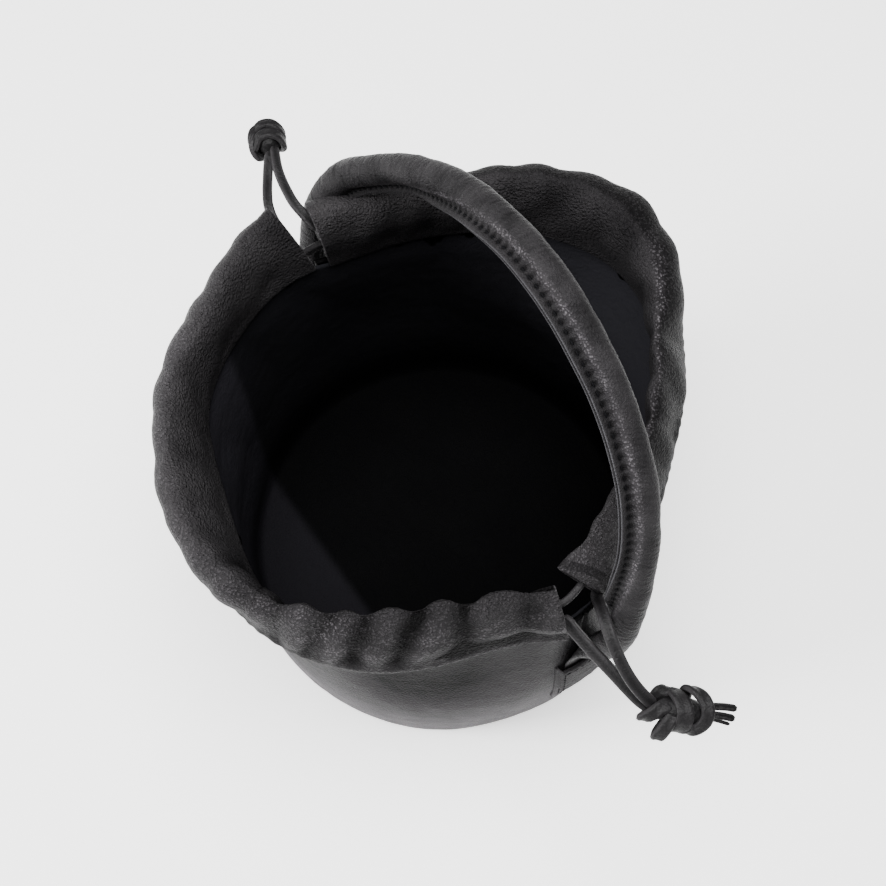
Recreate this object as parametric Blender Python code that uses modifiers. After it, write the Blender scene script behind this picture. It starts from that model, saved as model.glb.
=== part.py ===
"""Soft leather drawstring pouch with two gathered casings and one rolled handle.

Units are metres and +Z is up. The underside of the base lies on z = 0 and its centre is the origin.
+X points at one side slit of the mouth, -X at the other, and +Y at the back of the pouch.
Angles go round +Z from +X, so the front half of the mouth lies between 180 and 360 degrees.
"""
import math

import bpy
import numpy as np

# Body: two leather panels that meet at the side seams, a stiff base and a thin lining.
BODY_RADIUS = 0.098
BODY_HEIGHT = 0.152
PANEL_WALL = 0.0018
LINING_WALL = 0.0010
BASE_THICKNESS = 0.003
GAP = 0.0003
LINING_CLEARANCE = 0.0008

# Casings: the gathered channels round the mouth that hold the two drawstrings.
CASING_HEIGHT = 0.032
CASING_DEPTH = 0.0112
CASING_WALL = 0.0015
GATHER_DROP = 0.0012
GATHER_SHIFT = 0.0010
GATHER_PINCH = 0.26

# Handle: a rolled tube with a stitched flange, flattened to a tongue under each side patch.
HANDLE_DIAMETER = 0.012
HANDLE_FLANGE = 0.0042
FLANGE_THICKNESS = 0.0026
HANDLE_RISE = 0.1043
HANDLE_LEAN = 0.0406
HANDLE_CLEARANCE = 0.0080
TONGUE_THICKNESS = 0.0022
TONGUE_WIDTH = 0.018
TONGUE_LENGTH = 0.026

# Side patches: they cover the tongues of the handle.
PATCH_WIDTH = 0.025
PATCH_HEIGHT = 0.048
PATCH_TOP = 0.100
PATCH_WALL = 0.0016

# Drawstrings.
STRING_DIAMETER = 0.0044

# Numbers of steps round and along the lofted pieces.
PANEL_STEPS = (26, 8)
LINING_STEPS = 34
CASING_STEPS = 43
HANDLE_STEPS = 42
RUN_STEPS = 19
KNOT_STEPS = 14

# The outline of the body from its base to the top of the panels, as shares of its two sizes.
PROFILE = {
    "height": [0.004, 0.020, 0.053, 0.105, 0.145, 0.260, 0.400, 0.600, 0.800, 1.000],
    "radius": [0.885, 0.929, 0.959, 0.975, 0.982, 0.995, 1.000, 0.990, 0.972, 0.960],
}

# The two casings from their left slit to their right slit and back: the angles of the lower edge and
# of the ridge in degrees, their radii as shares of BODY_RADIUS, and the fullness of the channel.
COLUMNS = ("low_angle", "ridge_angle", "low_radius", "ridge_radius", "fullness")
FRONT_CASING = [
    (181.2, 184.6, 0.968, 1.098, 1.10),
    (190.5, 192.0, 0.990, 1.082, 1.00),
    (200.0, 200.0, 1.000, 1.050, 1.00),
    (208.0, 207.0, 1.006, 1.030, 1.00),
    (217.0, 216.0, 1.015, 1.030, 1.00),
    (225.0, 223.0, 1.020, 1.055, 1.00),
    (232.0, 231.0, 1.015, 1.078, 1.02),
    (241.0, 240.0, 0.990, 1.080, 1.05),
    (250.5, 250.0, 0.975, 1.090, 1.08),
    (259.5, 259.0, 0.980, 1.095, 1.08),
    (268.5, 268.0, 1.000, 1.085, 1.05),
    (276.5, 276.0, 1.020, 1.055, 1.05),
    (284.0, 284.0, 1.028, 1.010, 1.05),
    (291.5, 291.5, 1.022, 0.955, 1.05),
    (299.5, 300.0, 1.000, 0.905, 1.05),
    (308.5, 310.0, 0.975, 0.845, 1.05),
    (320.0, 323.0, 0.940, 0.795, 1.05),
    (334.0, 338.0, 0.900, 0.785, 1.05),
    (345.5, 347.5, 0.902, 0.795, 1.02),
    (354.0, 353.4, 0.940, 0.815, 1.02),
]
BACK_CASING = [
    (366.6, 357.2, 0.935, 0.790, 1.02),
    (374.0, 372.5, 0.905, 0.745, 1.00),
    (387.5, 387.5, 0.875, 0.740, 1.00),
    (398.0, 397.0, 0.865, 0.755, 1.02),
    (408.0, 407.5, 0.875, 0.790, 1.02),
    (416.5, 416.0, 0.905, 0.805, 1.04),
    (424.0, 424.5, 0.940, 0.850, 1.05),
    (433.0, 433.0, 0.985, 0.870, 1.05),
    (442.5, 442.5, 1.035, 0.950, 1.05),
    (451.0, 449.5, 1.070, 1.005, 1.05),
    (459.0, 457.0, 1.085, 1.065, 1.05),
    (466.5, 465.0, 1.080, 1.110, 1.05),
    (474.0, 473.0, 1.060, 1.105, 1.05),
    (482.0, 480.0, 1.035, 1.085, 1.02),
    (490.0, 488.0, 1.000, 1.050, 1.00),
    (498.5, 496.5, 0.970, 0.995, 0.98),
    (507.5, 505.5, 0.950, 0.955, 1.00),
    (517.0, 515.0, 0.935, 0.940, 1.00),
    (525.5, 523.5, 0.930, 0.940, 1.00),
    (532.0, 531.0, 0.935, 0.962, 1.00),
    (536.2, 537.6, 0.945, 0.985, 1.02),
]

# The main gathers where the string draws the leather in: angle and half width in degrees, and depth.
GATHERS = [
    (188.5, 2.6, 0.7), (196.5, 2.8, 0.9), (206.0, 3.0, 1.0), (214.5, 2.8, 0.7), (225.5, 3.2, 1.0),
    (235.0, 3.0, 0.8), (244.5, 3.0, 1.0), (254.5, 3.2, 1.2), (263.5, 3.0, 0.7), (271.5, 3.0, 1.0),
    (279.5, 3.0, 0.8), (287.0, 3.0, 1.0), (295.2, 3.0, 1.2), (304.5, 3.2, 1.1), (316.0, 3.6, 1.2),
    (331.0, 4.0, 1.2), (346.0, 3.6, 0.9), (369.0, 3.6, 0.8), (379.5, 3.6, 1.0), (391.0, 3.6, 0.9),
    (401.5, 3.4, 0.9), (411.0, 3.2, 1.2), (422.0, 3.0, 0.6), (435.0, 3.4, 1.4), (448.5, 3.2, 0.7),
    (457.5, 3.0, 1.1), (468.0, 3.2, 0.8), (478.5, 3.0, 1.0), (488.0, 3.0, 0.9), (498.0, 3.2, 0.8),
    (507.5, 3.2, 0.7), (517.5, 3.2, 0.8), (527.5, 3.0, 0.7),
]

# Soft dents of the body: angle and its half width in degrees, height and its half width as shares of
# BODY_HEIGHT, and depth as a share of BODY_RADIUS.
DENTS = [
    (300.0, 24.0, 0.74, 0.20, 0.030),
    (338.0, 14.0, 0.66, 0.24, 0.022),
    (236.0, 20.0, 0.62, 0.22, 0.024),
    (60.0, 22.0, 0.66, 0.22, 0.028),
    (128.0, 18.0, 0.58, 0.24, 0.022),
]

# The closed outline of a casing: rise from the lower edge to the ridge, and reach out from the
# middle as a share of half the depth.
CASING_SECTION = [
    (0.00, 0.66), (0.12, 0.92), (0.38, 1.02), (0.68, 0.92), (0.90, 0.56), (1.00, 0.04),
    (0.92, -0.52), (0.70, -0.90), (0.40, -1.00), (0.12, -0.88), (0.00, -0.62),
]

# How high each string runs inside each channel: at the left slit, halfway and at the right slit.
STRING_RISE = {
    "left": {"front": (0.34, 0.50, 0.52), "back": (0.64, 0.58, 0.52)},
    "right": {"front": (0.14, 0.20, 0.22), "back": (0.29, 0.27, 0.22)},
}
STRING_INSET = 0.004  # how far into its channel, as a share of it, a string's free end begins

# The handle's centreline above the panels: share of the half span, of the lean and of the rise.
HANDLE_PATH = [
    (-1.035, 0.190, -0.110), (-1.045, 0.340, 0.120), (-0.992, 0.555, 0.325), (-0.860, 0.722, 0.493),
    (-0.730, 0.855, 0.628), (-0.575, 0.936, 0.752), (-0.426, 0.990, 0.848), (-0.274, 1.000, 0.920),
    (-0.141, 0.995, 0.968), (-0.008, 0.973, 1.000), (0.110, 0.958, 0.998), (0.228, 0.931, 0.980),
    (0.342, 0.892, 0.954), (0.446, 0.860, 0.912), (0.547, 0.810, 0.862), (0.644, 0.746, 0.805),
    (0.735, 0.675, 0.729), (0.820, 0.584, 0.635), (0.892, 0.485, 0.512), (0.952, 0.357, 0.365),
    (1.006, 0.225, 0.180), (1.024, 0.110, -0.030),
]

# How far the flange turns from the inside of the arch towards the front, along the handle's length.
FLANGE_TURN = {
    "along": [0.0, 0.19, 0.24, 0.29, 0.34, 0.40, 0.47, 0.54, 0.61, 0.68, 0.74, 0.775, 0.81, 0.86, 1.0],
    "degrees": [0, 12, 20, 22, 8, -34, -70, -84, -89, -87, -72, -50, -10, 10, 20],
}

# Routes of the four free string ends from their casing to their knot, in metres.
STRANDS = {
    "drawstring_left_strand_front": [
        (-0.0991, -0.0049, 0.1641), (-0.0993, -0.0023, 0.1642), (-0.1026, -0.0002, 0.1656),
        (-0.1082, -0.0018, 0.1672), (-0.1130, -0.0038, 0.1680), (-0.1180, -0.0044, 0.1684),
        (-0.1246, -0.0008, 0.1692), (-0.1321, 0.0045, 0.1700), (-0.1369, 0.0068, 0.1693),
    ],
    "drawstring_left_strand_back": [
        (-0.0950, 0.0050, 0.1727), (-0.0957, 0.0026, 0.1729), (-0.0994, 0.0010, 0.1755),
        (-0.1046, 0.0012, 0.1768), (-0.1109, 0.0029, 0.1770), (-0.1170, 0.0048, 0.1760),
        (-0.1234, 0.0070, 0.1736), (-0.1300, 0.0091, 0.1708), (-0.1350, 0.0114, 0.1695),
    ],
    "drawstring_right_strand_front": [
        (0.0888, -0.0099, 0.1602), (0.0898, -0.0077, 0.1602), (0.0926, -0.0056, 0.1604),
        (0.0972, -0.0054, 0.1600), (0.1026, -0.0068, 0.1590), (0.1096, -0.0076, 0.1570),
        (0.1168, -0.0086, 0.1550), (0.1240, -0.0102, 0.1533), (0.1298, -0.0080, 0.1520),
        (0.1339, -0.0039, 0.1513),
    ],
    "drawstring_right_strand_back": [
        (0.0879, 0.0080, 0.1606), (0.0889, 0.0056, 0.1607), (0.0922, 0.0036, 0.1642),
        (0.0968, 0.0018, 0.1670), (0.1016, -0.0004, 0.1686), (0.1085, -0.0029, 0.1675),
        (0.1152, -0.0042, 0.1640), (0.1212, -0.0054, 0.1584), (0.1262, -0.0046, 0.1532),
        (0.1304, -0.0006, 0.1514),
    ],
}

# A knot's outline from the strands to the tails: reach along its axis as a share of half its length,
# radius as a share of its own, how far the ring tilts, and how flat it is.
KNOT_WRAPS = [
    (-1.00, 0.50, 0.10, 0.90), (-0.94, 0.78, 0.20, 0.92), (-0.66, 0.98, 0.24, 0.95),
    (-0.34, 0.94, 0.22, 0.95), (-0.06, 0.70, 0.08, 0.95), (0.12, 0.68, -0.06, 0.95),
    (0.34, 0.92, -0.14, 0.95), (0.62, 1.00, -0.16, 0.95), (0.88, 0.84, -0.14, 0.92),
    (1.00, 0.48, -0.06, 0.85),
]

# Knots: centre and direction from the strands to the tails, radius, length, and length of the tail.
KNOTS = {
    "knot_left": {
        "centre": (-0.1440, 0.0127, 0.1680), "axis": (-0.90, 0.42, -0.15),
        "radius": 0.0074, "length": 0.0160, "tail": 0.0,
    },
    "knot_right": {
        "centre": (0.1412, 0.0068, 0.1500), "axis": (0.70, 0.70, -0.10),
        "radius": 0.0086, "length": 0.0240, "tail": 0.0105,
    },
}

LEATHER = ((0.020, 0.019, 0.020), 0.50)
INNER_LEATHER = ((0.012, 0.012, 0.014), 0.62)
STRING_LEATHER = ((0.022, 0.021, 0.022), 0.55)


def clear_scene():
    """Removes what the scene starts with."""
    for each in list(bpy.data.objects):
        bpy.data.objects.remove(each, do_unlink=True)


def new_collection(name):
    """Adds a collection to the scene."""
    group = bpy.data.collections.new(name)
    bpy.context.scene.collection.children.link(group)
    return group


def paint(piece, colour, roughness):
    """Gives a piece its own material."""
    made = bpy.data.materials.new(piece.name)
    made.use_nodes = True
    shader = next(n for n in made.node_tree.nodes if n.type == "BSDF_PRINCIPLED")
    shader.inputs["Base Color"].default_value = (*colour, 1.0)
    shader.inputs["Roughness"].default_value = roughness
    shader.inputs["Metallic"].default_value = 0.0
    piece.data.materials.clear()
    piece.data.materials.append(made)
    return piece


def from_points(name, points, faces, group):
    """Makes a mesh object of points and faces."""
    mesh = bpy.data.meshes.new(name)
    mesh.from_pydata([tuple(float(v) for v in p) for p in points], [], [tuple(f) for f in faces])
    mesh.validate()
    piece = bpy.data.objects.new(name, mesh)
    group.objects.link(piece)
    return piece


def grid_faces(rows, across, round_it):
    """Faces of a grid of rows of points; round_it closes each row on itself."""
    steps = across if round_it else across - 1
    return [
        (
            r * across + c,
            r * across + (c + 1) % across,
            (r + 1) * across + (c + 1) % across,
            (r + 1) * across + c,
        )
        for r in range(rows - 1)
        for c in range(steps)
    ]


def smooth_curve(places, values, at):
    """A smooth line through values at places (cubic pieces with central slopes)."""
    places, values = np.asarray(places, float), np.asarray(values, float)
    slopes = np.gradient(values, places, axis=0)
    at = np.clip(np.asarray(at, float), places[0], places[-1])
    left = np.clip(np.searchsorted(places, at, side="right") - 1, 0, len(places) - 2)
    span = places[left + 1] - places[left]
    t = (at - places[left]) / span
    if values.ndim > 1:
        t, span = t[..., None], span[..., None]
    return (
        (2 * t**3 - 3 * t**2 + 1) * values[left]
        + (t**3 - 2 * t**2 + t) * span * slopes[left]
        + (3 * t**2 - 2 * t**3) * values[left + 1]
        + (t**3 - t**2) * span * slopes[left + 1]
    )


def smooth_step(x):
    """0 below 0, 1 above 1 and smooth between."""
    x = np.clip(x, 0.0, 1.0)
    return x * x * (3 - 2 * x)


def turned(degrees):
    """The part of an angle that repeats, from 0 to 360 degrees."""
    return np.mod(np.asarray(degrees, float), 360.0)


def away_from(degrees, middle):
    """How far an angle is from the middle one, the short way round, in degrees."""
    return np.mod(np.asarray(degrees, float) - middle + 180.0, 360.0) - 180.0


def gather(degrees):
    """How deeply the leather is drawn in at an angle: 0 on the puffed parts, about 1 in a gather."""
    total = np.zeros_like(np.asarray(degrees, float))
    for middle, width, depth in GATHERS:
        total = total + depth * np.exp(-((away_from(degrees, middle) / width) ** 2))
    return total


def mouth_radius(degrees):
    """The radius of the panels' top edge, which follows the lower edge of the casings."""
    rows = sorted((float(turned(r[0])), r[2]) for r in FRONT_CASING + BACK_CASING)
    angles = [rows[-1][0] - 360.0] + [a for a, _ in rows] + [rows[0][0] + 360.0]
    radii = [rows[-1][1]] + [r for _, r in rows] + [rows[0][1]]
    return BODY_RADIUS * smooth_curve(angles, radii, turned(degrees))


def body_radius(degrees, height):
    """The outer radius of the body's leather at an angle and a height."""
    share = np.asarray(height, float) / BODY_HEIGHT
    plain = BODY_RADIUS * smooth_curve(PROFILE["height"], PROFILE["radius"], share)
    top = mouth_radius(degrees) / (BODY_RADIUS * PROFILE["radius"][-1])
    radius = plain * (1 + (top - 1) * smooth_step((share - 0.45) / 0.55))
    for angle, width, middle, tall, depth in DENTS:
        fall = (away_from(degrees, angle) / width) ** 2 + ((share - middle) / tall) ** 2
        radius = radius - BODY_RADIUS * depth * np.exp(-fall)
    return radius


def at_angle(degrees, radius, height):
    """A point at an angle, a radius and a height."""
    a = np.radians(degrees)
    return np.stack(np.broadcast_arrays(radius * np.cos(a), radius * np.sin(a), height), axis=-1)


def solidify(piece, thickness):
    """Gives an open surface its wall; positive thickness grows along the normals."""
    wall = piece.modifiers.new("wall", "SOLIDIFY")
    wall.thickness = abs(thickness)
    wall.offset = 1.0 if thickness > 0 else -1.0
    wall.use_even_offset = True
    return piece


def panel(name, start, group):
    """Half of the body's outer leather, from one side seam to the other."""
    around, up = PANEL_STEPS
    seam = math.degrees(1.5 * GAP / BODY_RADIUS)
    angles = np.linspace(start + seam, start + 180 - seam, around + 1)
    shares = np.array([PROFILE["height"][0], 0.020, 0.053, 0.12, 0.26, 0.43, 0.60, 0.80, 1.0])
    rows = [at_angle(angles, body_radius(angles, BODY_HEIGHT * s), BODY_HEIGHT * s) for s in shares]
    points = np.concatenate(rows)
    piece = from_points(name, points, grid_faces(len(shares), around + 1, False), group)
    return solidify(piece, -PANEL_WALL)


def base(group):
    """The stiff round base inside the lower edge of the panels."""
    radius = BODY_RADIUS * PROFILE["radius"][0] - PANEL_WALL / 2 - GAP
    bpy.ops.mesh.primitive_cylinder_add(vertices=40, radius=radius, depth=BASE_THICKNESS)
    piece = bpy.context.object
    piece.name = "base"
    piece.location = (0, 0, BASE_THICKNESS / 2)
    for each in piece.users_collection:
        each.objects.unlink(piece)
    group.objects.link(piece)
    edge = piece.modifiers.new("edge", "BEVEL")
    edge.width = BASE_THICKNESS / 5
    edge.segments = 1
    return piece


def lining(group):
    """The thin cup inside the panels and over the base."""
    angles = np.linspace(0, 360, LINING_STEPS, endpoint=False)
    floor = BASE_THICKNESS + GAP

    def inside(height):
        rise = body_radius(angles, height + 0.001) - body_radius(angles, height - 0.001)
        slope = np.sqrt(1 + (rise / 0.002) ** 2)
        return body_radius(angles, height) - (PANEL_WALL + LINING_CLEARANCE) * slope

    heights = [BODY_HEIGHT * s for s in (0.992, 0.80, 0.60, 0.43, 0.26, 0.12, 0.05)]
    rows = [at_angle(angles, inside(h), h) for h in heights]
    corner = inside(heights[-1])
    rows.append(at_angle(angles, corner - 0.0022, floor + 0.0014))
    rows.append(at_angle(angles, 0.93 * corner, floor))
    rows.append(at_angle(angles, 0.45 * corner, floor))
    points = np.concatenate(rows + [np.array([[0, 0, floor]])])
    faces = [tuple(reversed(f)) for f in grid_faces(len(rows), LINING_STEPS, True)]
    last, centre = (len(rows) - 1) * LINING_STEPS, len(points) - 1
    faces += [(last + (k + 1) % LINING_STEPS, last + k, centre) for k in range(LINING_STEPS)]
    piece = from_points("lining", points, faces, group)
    return solidify(piece, -LINING_WALL)


class Channel:
    """One casing: where its lower edge and its ridge run, at shares of the way along it."""

    def __init__(self, rows):
        self.rows = np.array(rows, float)
        self.places = np.linspace(0, 1, len(rows))

    def stations(self, along):
        """Lower edge, ridge, half depth, outward direction and the gathers' pull on the ridge."""
        row = smooth_curve(self.places, self.rows, along)
        low_angle, ridge_angle, low_radius, ridge_radius, full = row.T
        low = at_angle(low_angle, BODY_RADIUS * low_radius, BODY_HEIGHT + GAP)
        ridge = at_angle(ridge_angle, BODY_RADIUS * ridge_radius, BODY_HEIGHT + CASING_HEIGHT)
        half = CASING_DEPTH / 2 * full
        middle = (low + ridge) / 2
        up = ridge - low
        out = np.cross(np.gradient(middle, axis=0), up)
        out /= np.linalg.norm(out, axis=1)[:, None]
        out *= np.sign((out * middle * np.array([1, 1, 0])).sum(1))[:, None]
        dip = np.min([(up[:, 2] * r + out[:, 2] * half * o) for r, o in CASING_SECTION], axis=0)
        low[:, 2] -= dip
        drawn = gather(ridge_angle)
        aside = np.sign(low_radius - ridge_radius) * GATHER_SHIFT * drawn
        pull = at_angle(ridge_angle, aside, -GATHER_DROP * drawn)
        return low, ridge, half, out, drawn, pull

    def centre(self, along, rise):
        """Points inside the channel, rise being the share of the way from lower edge to ridge."""
        low, ridge, *_ = self.stations(along)
        return low + (ridge - low) * np.asarray(rise)[:, None]


def casing(name, rows, group):
    """A hollow gathered channel, open at both ends."""
    along = np.linspace(0, 1, CASING_STEPS)
    low, ridge, half, out, drawn, pull = Channel(rows).stations(along)
    up = ridge - low
    margin = (CASING_WALL / np.linalg.norm(up, axis=1))[:, None]

    def loop(inset, wall):
        return np.stack(
            [
                low
                + up * (inset + r * (1 - 2 * inset))
                + out * ((half * (1 - GATHER_PINCH * drawn * r) - wall) * o)[:, None]
                + pull * r**3
                for r, o in CASING_SECTION
            ],
            axis=1,
        )

    across = len(CASING_SECTION)
    points = np.concatenate(
        [loop(0.0, 0.0).reshape(-1, 3), loop(margin, CASING_WALL).reshape(-1, 3)]
    )
    skin = grid_faces(CASING_STEPS, across, True)
    shift = CASING_STEPS * across
    faces = [tuple(reversed(f)) for f in skin] + [tuple(shift + k for k in f) for f in skin]
    last = (CASING_STEPS - 1) * across
    for k in range(across):
        n = (k + 1) % across
        faces.append((k, n, shift + n, shift + k))
        faces.append((last + n, last + k, shift + last + k, shift + last + n))
    return from_points(name, points, faces, group)


def side_x(side, height):
    """The x of the body's surface at a side seam."""
    return side * float(body_radius(0.0 if side > 0 else 180.0, height))


def handle_points():
    """The handle's centreline, from the tongue under the left patch to the one on the right."""
    span = BODY_RADIUS + HANDLE_CLEARANCE - HANDLE_DIAMETER / 4
    arch = [
        (s * span, l * HANDLE_LEAN, BODY_HEIGHT + r * HANDLE_RISE) for s, l, r in HANDLE_PATH
    ]

    def foot(side):
        rest = GAP + TONGUE_THICKNESS / 2
        heights = (PATCH_TOP - TONGUE_LENGTH, PATCH_TOP - 0.012, PATCH_TOP + 0.002, PATCH_TOP + 0.014)
        reach = (0, 0, 0, 0.0016)
        return [
            (side_x(side, h) + side * (rest + r), 0.0002 * k, h)
            for k, (h, r) in enumerate(zip(heights, reach))
        ]

    return np.array(foot(-1) + arch + foot(1)[::-1])


def handle(group):
    """The rolled handle: a tube with a stitched flange that fades into a flat tongue at each end."""
    route = handle_points()
    step = np.r_[0, np.cumsum(np.linalg.norm(np.diff(route, axis=0), axis=1))]
    along = np.linspace(0, step[-1], HANDLE_STEPS)
    line = smooth_curve(step, route, along)
    forward = np.gradient(line, axis=0)
    forward /= np.linalg.norm(forward, axis=1)[:, None]
    chord = np.array([0.0, -math.sin(math.radians(20)), -math.cos(math.radians(20))])
    middle = np.array([0.0, 0.35 * HANDLE_LEAN, BODY_HEIGHT + 0.25 * HANDLE_RISE])
    inward = middle - line
    low = line[:, 2] < middle[2]
    inward[low] = np.stack([-line[low, 0], 0 * line[low, 0], 0 * line[low, 0]], axis=1)
    inward -= (inward * forward).sum(1)[:, None] * forward
    inward /= np.linalg.norm(inward, axis=1)[:, None]
    aside = np.cross(forward, inward)
    aside *= np.sign(aside @ np.cross([1.0, 0, 0], chord))[:, None]
    turn = np.radians(
        smooth_curve(FLANGE_TURN["along"], FLANGE_TURN["degrees"], along / along[-1])
    )[:, None]
    flange, across = (
        inward * np.cos(turn) + aside * np.sin(turn),
        aside * np.cos(turn) - inward * np.sin(turn),
    )
    flat = 1 - smooth_step((line[:, 2] - PATCH_TOP - 0.012) / 0.026)
    fade = smooth_step((line[:, 2] - BODY_HEIGHT - 0.006) / 0.020)
    radius = HANDLE_DIAMETER / 2
    half = FLANGE_THICKNESS / 2
    tip = radius * np.cos(0.22) + (HANDLE_FLANGE + radius * (1 - np.cos(0.22))) * fade
    section = [(tip, half)]
    section += [
        (radius * math.cos(a), radius * math.sin(a)) for a in np.linspace(0.42, 2 * math.pi - 0.42, 9)
    ]
    section += [(tip, -half)]
    rings = []
    for n, b in section:
        offset = flange * np.broadcast_to(n, along.shape)[:, None] + across * b
        thin = 1 - flat * (1 - TONGUE_THICKNESS / HANDLE_DIAMETER)
        wide = 1 + flat * (TONGUE_WIDTH / HANDLE_DIAMETER - 1)
        rings.append(line + offset * np.stack([thin, wide, 1 + 0 * wide], axis=1))
    across_count = len(section)
    points = np.stack(rings, axis=1).reshape(-1, 3)
    faces = grid_faces(HANDLE_STEPS, across_count, True)
    faces.append(tuple(reversed(range(across_count))))
    faces.append(tuple((HANDLE_STEPS - 1) * across_count + k for k in range(across_count)))
    return from_points("handle", points, faces, group)


def side_patch(name, side, group):
    """A leather patch on the side seam, raised over the tongue of the handle."""
    middle = 0.0 if side > 0 else 180.0
    wide = math.degrees(PATCH_WIDTH / 2 / BODY_RADIUS)
    tongue = math.degrees((TONGUE_WIDTH / 2 + 0.0012) / BODY_RADIUS)
    turns = np.array([-1, -0.90, -0.80, -0.5, 0, 0.5, 0.80, 0.90, 1]) * wide
    drops = np.array([0, 0.14, 0.32, 0.50, 0.60, 0.72, 0.86, 1.0]) * PATCH_HEIGHT
    rows = []
    for drop in drops:
        height = PATCH_TOP - drop
        over = 1 - smooth_step((np.abs(turns) - tongue) / (0.12 * wide))
        over = over * (1 - smooth_step((drop - TONGUE_LENGTH - 0.001) / 0.004))
        out = GAP + (TONGUE_THICKNESS + 2 * GAP) * over
        angles = middle + turns
        rows.append(at_angle(angles, body_radius(angles, height) + out, height))
    faces = [tuple(reversed(f)) for f in grid_faces(len(drops), len(turns), False)]
    piece = from_points(name, np.concatenate(rows), faces, group)
    return solidify(piece, PATCH_WALL)


def tube(name, points, diameter, group):
    """A round cord along a line of points, with closed ends."""
    curve = bpy.data.curves.new(name, "CURVE")
    curve.dimensions = "3D"
    curve.bevel_depth = diameter / 2
    curve.bevel_resolution = 2
    curve.use_fill_caps = True
    line = curve.splines.new("POLY")
    line.points.add(len(points) - 1)
    for place, point in zip(line.points, points):
        place.co = (*[float(v) for v in point], 1.0)
    piece = bpy.data.objects.new(name, curve)
    group.objects.link(piece)
    return piece


def string_run(name, side, group):
    """A drawstring inside both casings: from its own slit, across the other slit and back."""
    left_end = STRING_INSET if side == "left" else 0.0
    right_end = STRING_INSET if side == "right" else 0.0
    shares = {
        "front": np.linspace(left_end, 1 - right_end, RUN_STEPS),
        "back": np.linspace(right_end, 1 - left_end, RUN_STEPS),
    }
    lines = {}
    for half, rows in (("front", FRONT_CASING), ("back", BACK_CASING)):
        rises = STRING_RISE[side][half]
        rises = rises if half == "front" else rises[::-1]
        rise = smooth_curve([0, 0.5, 1], rises, shares[half])
        lines[half] = Channel(rows).centre(shares[half], rise)
    order = ("front", "back") if side == "left" else ("back", "front")
    return tube(name, np.concatenate([lines[half] for half in order]), STRING_DIAMETER, group)


def strand(name, group):
    """A free end of a drawstring, from its casing to its knot."""
    points = np.array(STRANDS[name])
    step = np.r_[0, np.cumsum(np.linalg.norm(np.diff(points, axis=0), axis=1))]
    lead = STRING_DIAMETER / 4
    along = np.r_[0, np.linspace(lead, step[-1] - lead, 10), step[-1]]
    return tube(name, smooth_curve(step, points, along), STRING_DIAMETER, group)


def knot(name, group):
    """A knot of both strands of a string: two tilted wraps round a core, and a short tail or none."""
    spec = KNOTS[name]
    axis = np.array(spec["axis"]) / np.linalg.norm(spec["axis"])
    side = np.cross(axis, [0, 0, 1.0])
    side /= np.linalg.norm(side)
    over = np.cross(axis, side)
    centre = np.array(spec["centre"])
    turns = 2 * math.pi * np.arange(KNOT_STEPS) / KNOT_STEPS
    half = spec["length"] / 2
    rows = list(KNOT_WRAPS)
    if spec["tail"]:
        rows += [(1.04, 0.34, 0.0, 0.55), (1 + spec["tail"] / half, 0.36, 0.0, 0.50)]
    points = []
    for reach, radius, tilt, flat in rows:
        wide = spec["radius"] * radius * np.cos(turns)
        tall = spec["radius"] * radius * flat * np.sin(turns)
        along = half * reach + tilt * wide
        points.append(
            centre + wide[:, None] * side + tall[:, None] * over + along[:, None] * axis
        )
    faces = grid_faces(len(rows), KNOT_STEPS, True)
    faces.append(tuple(reversed(range(KNOT_STEPS))))
    faces.append(tuple((len(rows) - 1) * KNOT_STEPS + k for k in range(KNOT_STEPS)))
    return from_points(name, np.concatenate(points), faces, group)


def main():
    """Builds the pouch."""
    clear_scene()
    group = new_collection("drawstring_pouch")
    pieces = [
        (panel("front_panel", 180.0, group), LEATHER),
        (panel("back_panel", 0.0, group), LEATHER),
        (base(group), LEATHER),
        (lining(group), INNER_LEATHER),
        (casing("casing_front", FRONT_CASING, group), LEATHER),
        (casing("casing_back", BACK_CASING, group), LEATHER),
        (handle(group), LEATHER),
        (side_patch("side_patch_left", -1, group), LEATHER),
        (side_patch("side_patch_right", 1, group), LEATHER),
        (string_run("drawstring_left_run", "left", group), STRING_LEATHER),
        (string_run("drawstring_right_run", "right", group), STRING_LEATHER),
    ]
    pieces += [(strand(name, group), STRING_LEATHER) for name in STRANDS]
    pieces += [(knot(name, group), STRING_LEATHER) for name in KNOTS]
    for piece, (colour, roughness) in pieces:
        paint(piece, colour, roughness)


if __name__ == "__main__":
    main()
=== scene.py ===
"""Leather drawstring pouch: the finished pieces, their materials, the stage and the camera.

Lengths are in metres, +Z is up, and the pouch stands on z = 0. +X points at the right side slit of the
mouth and +Y at the back. Angles go round +Z from +X, so the front half lies between 180 and 360 degrees.
"""
import math

import bpy
import numpy as np
from mathutils import Matrix, Vector


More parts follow.
